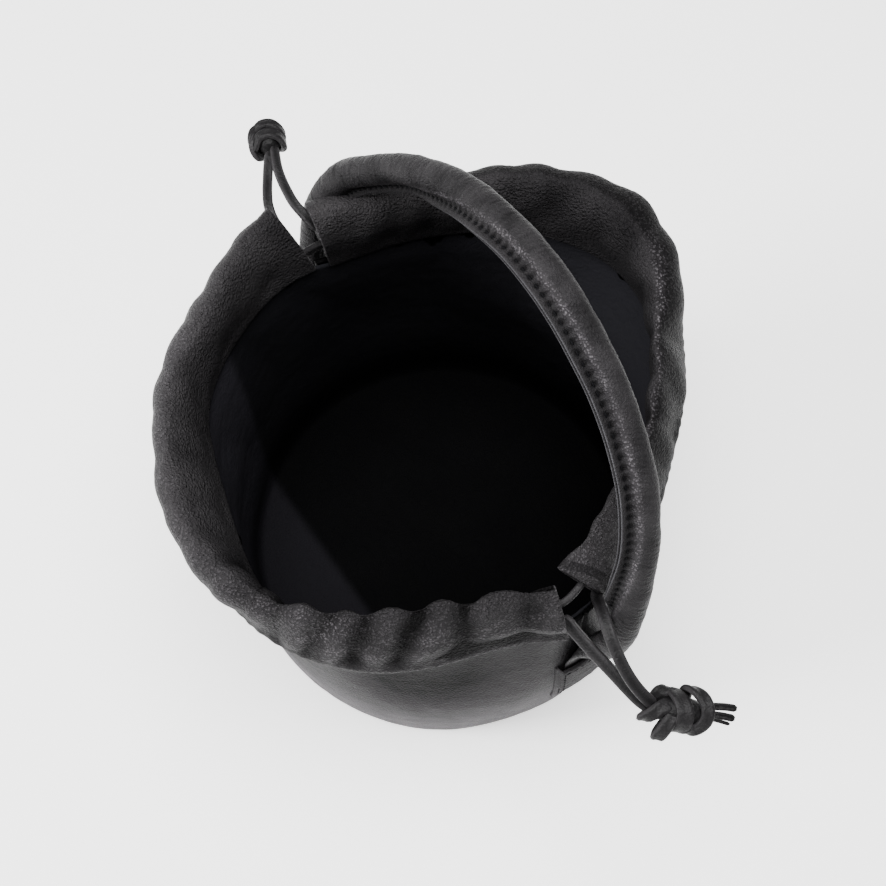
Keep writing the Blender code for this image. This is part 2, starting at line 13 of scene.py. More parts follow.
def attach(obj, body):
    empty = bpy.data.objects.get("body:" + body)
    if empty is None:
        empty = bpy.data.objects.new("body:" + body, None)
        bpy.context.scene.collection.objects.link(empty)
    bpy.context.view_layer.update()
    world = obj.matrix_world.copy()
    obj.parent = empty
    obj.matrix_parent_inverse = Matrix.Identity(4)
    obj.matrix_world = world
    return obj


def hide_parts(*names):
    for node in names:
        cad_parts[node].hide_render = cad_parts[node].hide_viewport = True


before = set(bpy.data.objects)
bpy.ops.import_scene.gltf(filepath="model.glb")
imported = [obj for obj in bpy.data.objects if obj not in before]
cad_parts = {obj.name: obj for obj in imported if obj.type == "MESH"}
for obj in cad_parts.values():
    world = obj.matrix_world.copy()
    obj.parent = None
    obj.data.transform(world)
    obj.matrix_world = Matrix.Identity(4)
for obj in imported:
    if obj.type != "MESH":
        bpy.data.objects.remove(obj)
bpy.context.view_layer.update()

bl_info = {
    "name": "Leather drawstring pouch",
    "version": (1, 0, 0),
    "blender": (4, 5, 0),
    "location": "View3D > Sidebar > Pouch",
    "description": "Makes a gathered leather pouch with drawstrings, knots and a rolled handle",
    "category": "Add Mesh",
}

# Sizes that the solids have too.
BODY_RADIUS = 0.098
BODY_HEIGHT = 0.152
PANEL_WALL = 0.0018
LINING_WALL = 0.0010
BASE_THICKNESS = 0.003
GAP = 0.0003
LINING_CLEARANCE = 0.0008
CASING_HEIGHT = 0.032
CASING_DEPTH = 0.0112
CASING_WALL = 0.0015
GATHER_DROP = 0.0012
GATHER_SHIFT = 0.0010
GATHER_PINCH = 0.26
HANDLE_DIAMETER = 0.012
HANDLE_FLANGE = 0.0042
FLANGE_THICKNESS = 0.0026
HANDLE_RISE = 0.1043
HANDLE_LEAN = 0.0406
HANDLE_CLEARANCE = 0.0080
TONGUE_THICKNESS = 0.0022
TONGUE_WIDTH = 0.018
TONGUE_LENGTH = 0.026
PATCH_WIDTH = 0.025
PATCH_HEIGHT = 0.048
PATCH_TOP = 0.100
PATCH_WALL = 0.0016

# Sizes of the finish alone.
FOLD_ROOM = 0.0016  # how much deeper the channel's inside lies, so that the folds don't reach it
FRONT_DROOP = (0.0034, -0.0006, -0.0026)  # how far the front casing's right end hangs out and down
BACK_BOW = (0.0008, 0.0046, 0.0006)  # how far the top of the back casing's right end is drawn back
PLEAT_PITCH = 0.0027
PUCKER_PITCH = 0.0056
STITCH_INSET = 0.0027
CASING_RINGS, CASING_STEPS = 800, 76
STRAND_RINGS = 90
CLOSING_SHARE = 1.1  # a share of the way round that is past the outline's end

# The body's outline from base to top, as shares of its height and radius.
PROFILE = {
    "height": [0.004, 0.020, 0.053, 0.105, 0.145, 0.260, 0.400, 0.600, 0.800, 1.000],
    "radius": [0.885, 0.929, 0.959, 0.975, 0.982, 0.995, 1.000, 0.990, 0.972, 0.960],
}

# Casings: angle of the lower edge and of the ridge, their radii as shares of BODY_RADIUS, fullness.
FRONT_CASING = [
    (181.2, 184.6, 0.968, 1.098, 1.10),
    (190.5, 192.0, 0.990, 1.082, 1.00),
    (200.0, 200.0, 1.000, 1.050, 1.00),
    (208.0, 207.0, 1.006, 1.030, 1.00),
    (217.0, 216.0, 1.015, 1.030, 1.00),
    (225.0, 223.0, 1.020, 1.055, 1.00),
    (232.0, 231.0, 1.015, 1.078, 1.02),
    (241.0, 240.0, 0.990, 1.080, 1.05),
    (250.5, 250.0, 0.975, 1.090, 1.08),
    (259.5, 259.0, 0.980, 1.095, 1.08),
    (268.5, 268.0, 1.000, 1.085, 1.05),
    (276.5, 276.0, 1.020, 1.055, 1.05),
    (284.0, 284.0, 1.028, 1.010, 1.05),
    (291.5, 291.5, 1.022, 0.955, 1.05),
    (299.5, 300.0, 1.000, 0.905, 1.05),
    (308.5, 310.0, 0.975, 0.845, 1.05),
    (320.0, 323.0, 0.940, 0.795, 1.05),
    (334.0, 338.0, 0.900, 0.785, 1.05),
    (345.5, 347.5, 0.902, 0.795, 1.02),
    (354.0, 353.4, 0.940, 0.815, 1.02),
]
BACK_CASING = [
    (366.6, 357.2, 0.935, 0.790, 1.02),
    (374.0, 372.5, 0.905, 0.745, 1.00),
    (387.5, 387.5, 0.875, 0.740, 1.00),
    (398.0, 397.0, 0.865, 0.755, 1.02),
    (408.0, 407.5, 0.875, 0.790, 1.02),
    (416.5, 416.0, 0.905, 0.805, 1.04),
    (424.0, 424.5, 0.940, 0.850, 1.05),
    (433.0, 433.0, 0.985, 0.870, 1.05),
    (442.5, 442.5, 1.035, 0.950, 1.05),
    (451.0, 449.5, 1.070, 1.005, 1.05),
    (459.0, 457.0, 1.085, 1.065, 1.05),
    (466.5, 465.0, 1.080, 1.110, 1.05),
    (474.0, 473.0, 1.060, 1.105, 1.05),
    (482.0, 480.0, 1.035, 1.085, 1.02),
    (490.0, 488.0, 1.000, 1.050, 1.00),
    (498.5, 496.5, 0.970, 0.995, 0.98),
    (507.5, 505.5, 0.950, 0.955, 1.00),
    (517.0, 515.0, 0.935, 0.940, 1.00),
    (525.5, 523.5, 0.930, 0.940, 1.00),
    (532.0, 531.0, 0.935, 0.962, 1.00),
    (536.2, 537.6, 0.945, 0.985, 1.02),
]

# Gathers where the strings draw the leather in: angle and half width in degrees, and depth.
GATHERS = [
    (188.5, 2.6, 0.7), (196.5, 2.8, 0.9), (206.0, 3.0, 1.0), (214.5, 2.8, 0.7), (225.5, 3.2, 1.0),
    (235.0, 3.0, 0.8), (244.5, 3.0, 1.0), (254.5, 3.2, 1.2), (263.5, 3.0, 0.7), (271.5, 3.0, 1.0),
    (279.5, 3.0, 0.8), (287.0, 3.0, 1.0), (295.2, 3.0, 1.2), (304.5, 3.2, 1.1), (316.0, 3.6, 1.2),
    (331.0, 4.0, 1.2), (346.0, 3.6, 0.9), (369.0, 3.6, 0.8), (379.5, 3.6, 1.0), (391.0, 3.6, 0.9),
    (401.5, 3.4, 0.9), (411.0, 3.2, 1.2), (422.0, 3.0, 0.6), (435.0, 3.4, 1.4), (448.5, 3.2, 0.7),
    (457.5, 3.0, 1.1), (468.0, 3.2, 0.8), (478.5, 3.0, 1.0), (488.0, 3.0, 0.9), (498.0, 3.2, 0.8),
    (507.5, 3.2, 0.7), (517.5, 3.2, 0.8), (527.5, 3.0, 0.7),
]

# Soft dents: angle, half width, height and half height as shares of BODY_HEIGHT, depth.
DENTS = [
    (300.0, 24.0, 0.74, 0.20, 0.030),
    (338.0, 14.0, 0.66, 0.24, 0.022),
    (236.0, 20.0, 0.62, 0.22, 0.024),
    (60.0, 22.0, 0.66, 0.22, 0.028),
    (128.0, 18.0, 0.58, 0.24, 0.022),
]

# Outline of a casing across its length: share of the way round, rise from the lower edge to the
# ridge, and reach outwards as a share of half the depth. The two lips hang over the panel's top.
CASING_OUTLINE = {
    "round": [0.00, 0.03, 0.09, 0.17, 0.27, 0.37, 0.45, 0.52, 0.58, 0.64, 0.71, 0.79, 0.87, 0.94, 1.00],
    "rise": [-0.060, -0.088, -0.040, 0.13, 0.38, 0.62, 0.80, 0.93, 1.00, 0.955, 0.80, 0.56, 0.32, 0.10,
             -0.05],
    "reach": [0.36, 0.72, 1.02, 1.14, 1.12, 0.98, 0.74, 0.42, 0.02, -0.42, -0.76, -0.96, -1.00, -0.93,
              -0.88],
}
CASING_CLOSING = [(-0.062, -0.82), (-0.050, -0.74), (0.010, -0.66), (0.014, -0.20), (0.010, 0.03),
                  (-0.060, 0.08), (-0.086, 0.16), (-0.092, 0.28)]

# How the casings swell: how far their outside bulges past that outline, and how much of the
# outline's reach their lower lip keeps, by angle.
PUFF = {
    "angle": [180, 188, 197, 207, 216, 228, 240, 252, 262, 272, 280, 288, 300, 312, 325, 340, 356,
              366, 380, 395, 430, 438, 444, 449, 455, 461, 468, 475, 482, 490, 498, 508, 520, 530, 538],
    "out": [0.0040, 0.0040, 0.0046, 0.0046, 0.0050, 0.0050, 0.0042, 0.0062, 0.0050, 0.0046, 0.0028,
            0.0008, 0.0000, -0.0004, -0.0008, -0.0010, -0.0010, 0.0, 0.0, 0.0, 0.0, 0.0012, 0.0046,
            0.0080, 0.0098, 0.0104, 0.0098, 0.0088, 0.0078, 0.0062, 0.0055, 0.0055, 0.0055, 0.0060, 0.0065],
    "lip": [1, 1, 1, 1, 1, 1, 1, 1, 1, 1, 1, 1, 0.95, 0.80, 0.45, 0.30, 0.30,
            0.7, 0.8, 0.9, 1, 1, 1, 1, 1, 1, 1, 1, 1, 1, 1, 1, 1, 1, 1],
}
PUFF_SHAPE = {
    "round": [0.00, 0.09, 0.20, 0.34, 0.45, 0.52, 0.58, 0.66, 1.00],
    "share": [0.15, 0.40, 0.75, 1.00, 0.95, 0.66, 0.26, 0.00, 0.00],
}

# The handle's centreline above the panels: share of the half span, of the lean and of the rise.
HANDLE_PATH = [
    (-1.035, 0.190, -0.110), (-1.045, 0.340, 0.120), (-0.992, 0.555, 0.325), (-0.860, 0.722, 0.493),
    (-0.730, 0.855, 0.628), (-0.575, 0.936, 0.752), (-0.426, 0.990, 0.848), (-0.274, 1.000, 0.920),
    (-0.141, 0.995, 0.968), (-0.008, 0.973, 1.000), (0.110, 0.958, 0.998), (0.228, 0.931, 0.980),
    (0.342, 0.892, 0.954), (0.446, 0.860, 0.912), (0.547, 0.810, 0.862), (0.644, 0.746, 0.805),
    (0.735, 0.675, 0.729), (0.820, 0.584, 0.635), (0.892, 0.485, 0.512), (0.952, 0.357, 0.365),
    (1.006, 0.225, 0.180), (1.024, 0.110, -0.030),
]
FLANGE_TURN = {
    "along": [0.0, 0.19, 0.24, 0.29, 0.34, 0.40, 0.47, 0.54, 0.61, 0.68, 0.74, 0.775, 0.81, 0.86, 1.0],
    "degrees": [0, 12, 20, 22, 8, -34, -70, -84, -89, -87, -72, -50, -10, 10, 20],
}

# Routes of the four free string ends from their casing to their knot, in metres, and which way the
# broad face of the folded strap looks at its start and at its end.
STRANDS = {
    "drawstring_left_strand_front": [
        (-0.1013, -0.0056, 0.1651), (-0.1059, -0.0062, 0.1674), (-0.1107, -0.0064, 0.1698),
        (-0.1159, -0.0051, 0.1716), (-0.1212, -0.0022, 0.1717), (-0.1269, 0.0016, 0.1710),
        (-0.1321, 0.0054, 0.1713), (-0.1366, 0.0091, 0.1718),
    ],
    "drawstring_left_strand_back": [
        (-0.0949, 0.0049, 0.1729), (-0.0977, 0.0040, 0.1746), (-0.1022, 0.0031, 0.1768),
        (-0.1078, 0.0026, 0.1778), (-0.1141, 0.0034, 0.1777), (-0.1206, 0.0049, 0.1762),
        (-0.1273, 0.0071, 0.1739), (-0.1329, 0.0096, 0.1724), (-0.1376, 0.0119, 0.1716),
    ],
    "drawstring_right_strand_front": [
        (0.0888, -0.0099, 0.1602), (0.0907, -0.0088, 0.1599), (0.0945, -0.0086, 0.1595),
        (0.1006, -0.0079, 0.1581), (0.1086, -0.0068, 0.1566), (0.1160, -0.0057, 0.1554),
        (0.1234, -0.0047, 0.1542), (0.1294, -0.0036, 0.1529), (0.1341, -0.0017, 0.1511),
    ],
    "drawstring_right_strand_back": [
        (0.0879, 0.0080, 0.1606), (0.0900, 0.0059, 0.1621), (0.0940, 0.0037, 0.1663),
        (0.0993, 0.0013, 0.1696), (0.1052, -0.0010, 0.1700), (0.1114, -0.0024, 0.1678),
        (0.1178, -0.0033, 0.1647), (0.1243, -0.0031, 0.1607), (0.1301, -0.0017, 0.1560),
        (0.1341, 0.0000, 0.1520),
    ],
}
STRAND_LOOKS = {
    "drawstring_left_strand_front": ((0.5, -0.1, 0.85), (0.5, -0.1, 0.85)),
    "drawstring_left_strand_back": ((0.5, 0.1, 0.85), (0.5, 0.1, 0.85)),
    "drawstring_right_strand_front": ((-0.3, -0.5, 0.8), (0.2, -0.5, 0.8)),
    "drawstring_right_strand_back": ((0.3, -0.3, 0.9), (0.3, -0.2, 0.9)),
}
STRING_RISE = {
    "left": {"front": (0.34, 0.50, 0.52), "back": (0.64, 0.58, 0.52)},
    "right": {"front": (0.14, 0.20, 0.22), "back": (0.29, 0.27, 0.22)},
}

# The camera of the photograph.
CAMERA_PLACE = (0.1708, -0.1235, 0.7138)
CAMERA_TARGET = (0.01311, -0.01024, 0.18487)
CAMERA_LENS = 61.11
SENSOR_WIDTH = 36.0
CAMERA_RIGHT = (0.5832, 0.8123, 0.0)


# ---------------------------------------------------------------- sizes and colours for a user


class PouchSizes(bpy.types.PropertyGroup):
    """Sizes of the finishing details."""

    stitch_pitch: bpy.props.FloatProperty(
        name="Stitch pitch", description="From one stitch to the next", default=0.0038, unit="LENGTH")
    stitch_length: bpy.props.FloatProperty(
        name="Stitch length", description="Length of a stitch that shows", default=0.0027, unit="LENGTH")
    thread: bpy.props.FloatProperty(
        name="Thread", description="Thickness of the sewing thread", default=0.0008, unit="LENGTH")
    strap_width: bpy.props.FloatProperty(
        name="Strap width", description="Width of the folded drawstring", default=0.0052, unit="LENGTH")
    strap_thickness: bpy.props.FloatProperty(
        name="Strap thickness", description="Thickness of the folded drawstring", default=0.0032,
        unit="LENGTH")
    fold_depth: bpy.props.FloatProperty(
        name="Fold depth", description="Depth of the main folds of the casings", default=0.0011,
        unit="LENGTH")
    grain: bpy.props.FloatProperty(
        name="Grain", description="Size of one pebble of the leather's grain", default=0.0011,
        unit="LENGTH")


class PouchColours(bpy.types.PropertyGroup):
    """Colours of the leathers and the thread, and the colours of the painted light."""

    leather: bpy.props.FloatVectorProperty(
        name="Leather", description="Colour of the outer leather", subtype="COLOR", size=3,
        default=(0.0140, 0.0133, 0.0141), min=0, max=1)
    # This colour marks rubbed leather, and is also painted light where the fold mark is raised for light.
    rubbed_and_painted_light: bpy.props.FloatVectorProperty(
        name="Worn leather", description="Colour where the leather is rubbed", subtype="COLOR", size=3,
        default=(0.0300, 0.0284, 0.0296), min=0, max=1)
    # Painted light: the colour of the painted highlights on the pebbles' tops, of the paler foot of the body
    # and of the lining's paler areas.
    painted_light: bpy.props.FloatVectorProperty(
        name="Burnished leather", description="Colour of the pebbles' tops where they are rubbed bright",
        subtype="COLOR", size=3, default=(0.095, 0.089, 0.095), min=0, max=1)
    lining: bpy.props.FloatVectorProperty(
        name="Lining", description="Colour of the lining", subtype="COLOR", size=3,
        default=(0.0085, 0.0085, 0.0100), min=0, max=1)
    edge: bpy.props.FloatVectorProperty(
        name="Cut edge", description="Colour of the painted cut edges", subtype="COLOR", size=3,
        default=(0.072, 0.071, 0.077), min=0, max=1)
    thread: bpy.props.FloatVectorProperty(
        name="Thread", description="Colour of the thread", subtype="COLOR", size=3,
        default=(0.0016, 0.0016, 0.0019), min=0, max=1)


# ---------------------------------------------------------------- forms


def smooth_curve(places, values, at):
    """A smooth line through values at places: cubic pieces whose slopes are the central ones."""
    places, values = np.asarray(places, float), np.asarray(values, float)
    slopes = np.gradient(values, places, axis=0)
    at = np.clip(np.asarray(at, float), places[0], places[-1])
    left = np.clip(np.searchsorted(places, at, side="right") - 1, 0, len(places) - 2)
    span = places[left + 1] - places[left]
    t = (at - places[left]) / span
    if values.ndim > 1:
        t, span = t[..., None], span[..., None]
    return (
        (2 * t**3 - 3 * t**2 + 1) * values[left]
        + (t**3 - 2 * t**2 + t) * span * slopes[left]
        + (3 * t**2 - 2 * t**3) * values[left + 1]
        + (t**3 - t**2) * span * slopes[left + 1]
    )


def smooth_step(x):
    """0 below 0, 1 above 1 and smooth between."""
    x = np.clip(x, 0.0, 1.0)
    return x * x * (3 - 2 * x)


def hump(x, middle, width):
    """exp(-(distance from the middle / width) squared)."""
    return np.exp(-(((x - middle) / width) ** 2))


def between(x, start, rise, end, fall):
    """0 below start, 1 from start + rise to end, 0 above end + fall, and smooth between."""
    return smooth_step((x - start) / rise) * (1 - smooth_step((x - end) / fall))


def away_from(degrees, middle):
    """How far an angle is from the middle one, the short way round, in degrees."""
    return np.mod(np.asarray(degrees, float) - middle + 180.0, 360.0) - 180.0


def unit(rows):
    """Rows of vectors, each divided by its length."""
    return rows / np.maximum(np.linalg.norm(rows, axis=-1, keepdims=True), 1e-12)


def run_length(points):
    """Distance along a row of points from its first one."""
    return np.r_[0, np.cumsum(np.linalg.norm(np.diff(points, axis=0), axis=1))]


def at_angle(degrees, radius, height):
    """A point at an angle, a radius and a height."""
    a = np.radians(degrees)
    return np.stack(np.broadcast_arrays(radius * np.cos(a), radius * np.sin(a), height), axis=-1)


def gather(degrees):
    """The sum over the gathers of depth times exp(-(distance / width) squared)."""
    total = np.zeros_like(np.asarray(degrees, float))
    for middle, width, depth in GATHERS:
        total = total + depth * np.exp(-((away_from(degrees, middle) / width) ** 2))
    return total


def mouth_radius(degrees):
    """The radius of the panels' top edge, a smooth line through the casings' lower edges."""
    rows = sorted((r[0] % 360.0, r[2]) for r in FRONT_CASING + BACK_CASING)
    angles = [rows[-1][0] - 360.0] + [a for a, _ in rows] + [rows[0][0] + 360.0]
    radii = [rows[-1][1]] + [r for _, r in rows] + [rows[0][1]]
    return BODY_RADIUS * smooth_curve(angles, radii, np.mod(degrees, 360.0))


def body_radius(degrees, height):
    """The profile's radius, blended to the mouth's above 45% of the height, less the soft dents."""
    share = np.asarray(height, float) / BODY_HEIGHT
    plain = BODY_RADIUS * smooth_curve(PROFILE["height"], PROFILE["radius"], share)
    top = mouth_radius(degrees) / (BODY_RADIUS * PROFILE["radius"][-1])
    radius = plain * (1 + (top - 1) * smooth_step((share - 0.45) / 0.55))
    for angle, width, middle, tall, depth in DENTS:
        fall = (away_from(degrees, angle) / width) ** 2 + ((share - middle) / tall) ** 2
        radius = radius - BODY_RADIUS * depth * np.exp(-fall)
    return radius


def ripples(a, b, seed, count, shortest, longest):
    """A sum of sine waves over two lengths, with seeded directions, phases and wavelengths from
    shortest to longest, divided so that its usual size is 1."""
    rng = np.random.default_rng(seed)
    total = 0.0
    for _ in range(count):
        turn, phase = rng.uniform(0, math.pi), rng.uniform(0, 2 * math.pi)
        wave = math.exp(rng.uniform(math.log(shortest), math.log(longest)))
        total = total + np.sin(2 * math.pi * (a * math.cos(turn) + b * math.sin(turn)) / wave + phase)
    return total / math.sqrt(count / 2)


def creases(a, b, rows):
    """Valleys over two lengths: for each row (middle a, middle b, direction in degrees, half length,
    width, depth), depth * exp(-(across / width) squared) * exp(-(along / half length) to the fourth)."""
    total = np.zeros(np.broadcast(a, b).shape)
    for ca, cb, turn, half, width, depth in rows:
        da, db = a - ca, b - cb
        c, s = math.cos(math.radians(turn)), math.sin(math.radians(turn))
        total += depth * np.exp(-(((da * c - db * s) / width) ** 2) - ((da * s + db * c) / half) ** 4)
    return total


def chance_creases(seed, count, a_range, b_range, tilt, half, width, depth):
    """Seeded rows for creases(): places in the two ranges, tilt and sizes between their limits."""
    rng = np.random.default_rng(seed)
    return [
        (rng.uniform(*a_range), rng.uniform(*b_range), rng.normal(0, tilt), rng.uniform(*half),
         rng.uniform(*width), rng.uniform(*depth))
        for _ in range(count)
    ]


def grid_quads(rows, cols, wrap_rows=False, wrap_cols=False):
    """The faces of a grid of points, whose rows or columns may close on themselves."""
    r = np.arange(rows if wrap_rows else rows - 1)[:, None]
    c = np.arange(cols if wrap_cols else cols - 1)[None, :]
    r2, c2 = (r + 1) % rows, (c + 1) % cols
    quads = np.stack([r * cols + c, r * cols + c2, r2 * cols + c2, r2 * cols + c], axis=-1)
    return quads.reshape(-1, 4)


def signed_volume(points, quads):
    """Six times the volume that the faces enclose, positive where they face out."""
    p = points[quads]
    return float(
        (p[:, 0] * np.cross(p[:, 1], p[:, 2])).sum() + (p[:, 0] * np.cross(p[:, 2], p[:, 3])).sum()
    )


def add_surface(name, points, wrap_rows=False, wrap_cols=False, caps=False, marks=None, flip=None,
                parts=1):
    """Adds a mesh from one grid of points (rows, columns, 3), or from as many equal grids as parts
    says. Caps close its first and last row, or only the last. Closed ones are turned so that their
    faces look out; open ones by flip."""
    if parts == 1 and points.ndim == 3:
        points = points[None]
    count, rows, cols = points.shape[:3]
    flat = points.reshape(-1, 3)
    quads = grid_quads(rows, cols, wrap_rows, wrap_cols)
    turn = flip if flip is not None else signed_volume(flat[: rows * cols], quads) < 0
    if turn:
        quads = quads[:, ::-1]
    every = (quads[None] + (np.arange(count) * rows * cols)[:, None, None]).reshape(-1, 4)
    faces = every.tolist()
    if caps:
        first, last = list(range(cols)), list(range((rows - 1) * cols, rows * cols))
        first, last = (first, last[::-1]) if turn else (first[::-1], last)
        for k in range(count):
            shift = k * rows * cols
            faces += ([] if caps == "last" else [[shift + i for i in first]]) + [[shift + i for i in last]]
    mesh = bpy.data.meshes.new(name)
    mesh.from_pydata(flat.tolist(), [], faces)
    for mark, values in (marks or {}).items():
        layer = mesh.attributes.new(mark, "FLOAT", "POINT")
        layer.data.foreach_set("value", np.ascontiguousarray(np.broadcast_to(
            values, points.shape[1:3] if count == 1 else points.shape[:3]), dtype=np.float32).ravel())
    mesh.polygons.foreach_set("use_smooth", np.ones(len(mesh.polygons), bool))
    mesh.update()
    piece = bpy.data.objects.new(name, mesh)
    bpy.context.scene.collection.objects.link(piece)
    return piece


def settle(piece, material, slot, *nodes):
    """Gives a piece its material, its body and the nodes that it stands for; the slot is not used."""
    piece.data.materials.clear()
    piece.data.materials.append(material)
    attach(piece, "root")
    if nodes:
        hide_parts(*nodes)
    return piece


def resample(points, count):
    """The same line with its points evenly spaced."""
    length = run_length(points)
    return smooth_curve(length, points, np.linspace(0, length[-1], count))


def sweep(line, section, broad, taper=None, closed=False):
    """A profile carried along a line: each point of the section (broad, thick) is laid off from the
    line along the broad direction, made square to the line, and along the third direction."""
    if closed:
        forward = unit(np.roll(line, -1, axis=0) - np.roll(line, 1, axis=0))
    else:
        forward = unit(np.gradient(line, axis=0))
    broad = np.broadcast_to(np.asarray(broad, float), line.shape)
    across = unit(broad - (broad * forward).sum(1)[:, None] * forward)
    up = np.cross(forward, across)
    size = np.ones(len(line)) if taper is None else taper
    return (
        line[:, None]
        + across[:, None] * (section[None, :, 0] * size[:, None])[..., None]
        + up[:, None] * (section[None, :, 1] * size[:, None])[..., None]
    )


def strap_section(width, thickness, steps=36):
    """A strap folded lengthwise: a rounded bar with two fine grooves along each broad face and one
    along each narrow face, where its folded layers meet."""
    t = 2 * math.pi * (np.arange(steps) + 0.5) / steps
    c, s = np.cos(t), np.sin(t)
    x = width / 2 * np.sign(c) * np.abs(c) ** 0.62
    y = thickness / 2 * np.sign(s) * np.abs(s) ** 0.70
    y = y * (1 - 0.24 * np.exp(-(((np.abs(x) - 0.15 * width) / (0.06 * width)) ** 2)))
    x = x * (1 - 0.10 * np.exp(-((y / (0.13 * thickness)) ** 2)))
    return np.stack([x, y], axis=1)


# ---------------------------------------------------------------- casings


def channel(rows, along):
    """A casing's lower edge, ridge, half depth, outward direction and the gathers' pull, at shares of
    the way along it. The outward direction is square to the ridge's rise and to the lower edge."""
    row = smooth_curve(np.linspace(0, 1, len(rows)), np.array(rows, float), along)
    low_angle, ridge_angle, low_radius, ridge_radius, full = row.T
    low = at_angle(low_angle, BODY_RADIUS * low_radius, BODY_HEIGHT + GAP)
    ridge = at_angle(ridge_angle, BODY_RADIUS * ridge_radius, BODY_HEIGHT + CASING_HEIGHT)
    half = CASING_DEPTH / 2 * full
    middle, up = (low + ridge) / 2, ridge - low
    out = unit(np.cross(np.gradient(middle, axis=0), up))
    out *= np.sign((out * middle * np.array([1, 1, 0])).sum(1))[:, None]
    drawn = gather(ridge_angle)
    pull = at_angle(ridge_angle, np.sign(low_radius - ridge_radius) * GATHER_SHIFT * drawn,
                    -GATHER_DROP * drawn)
    return low, ridge, half, out, drawn, pull, ridge_angle


def folds(turns, rise, seed):
    """The gathers seen close by: each is a soft valley with a sharp crease in it, and leans by a
    seeded slant as it climbs: depth * (0.8 exp(-(d / width) squared) + 0.3 exp(-|d| / (0.3 width)))."""
    rng = np.random.default_rng(seed)
    total = np.zeros(np.broadcast(turns, rise).shape)
    for middle, width, depth in GATHERS:
        slant, sharp = rng.normal(0, 2.6), rng.uniform(0.24, 0.40)
        d = away_from(turns, middle) + slant * (rise - 0.45)
        total += depth * (0.8 * np.exp(-((d / width) ** 2)) + 0.3 * np.exp(-np.abs(d) / (sharp * width)))
    return total


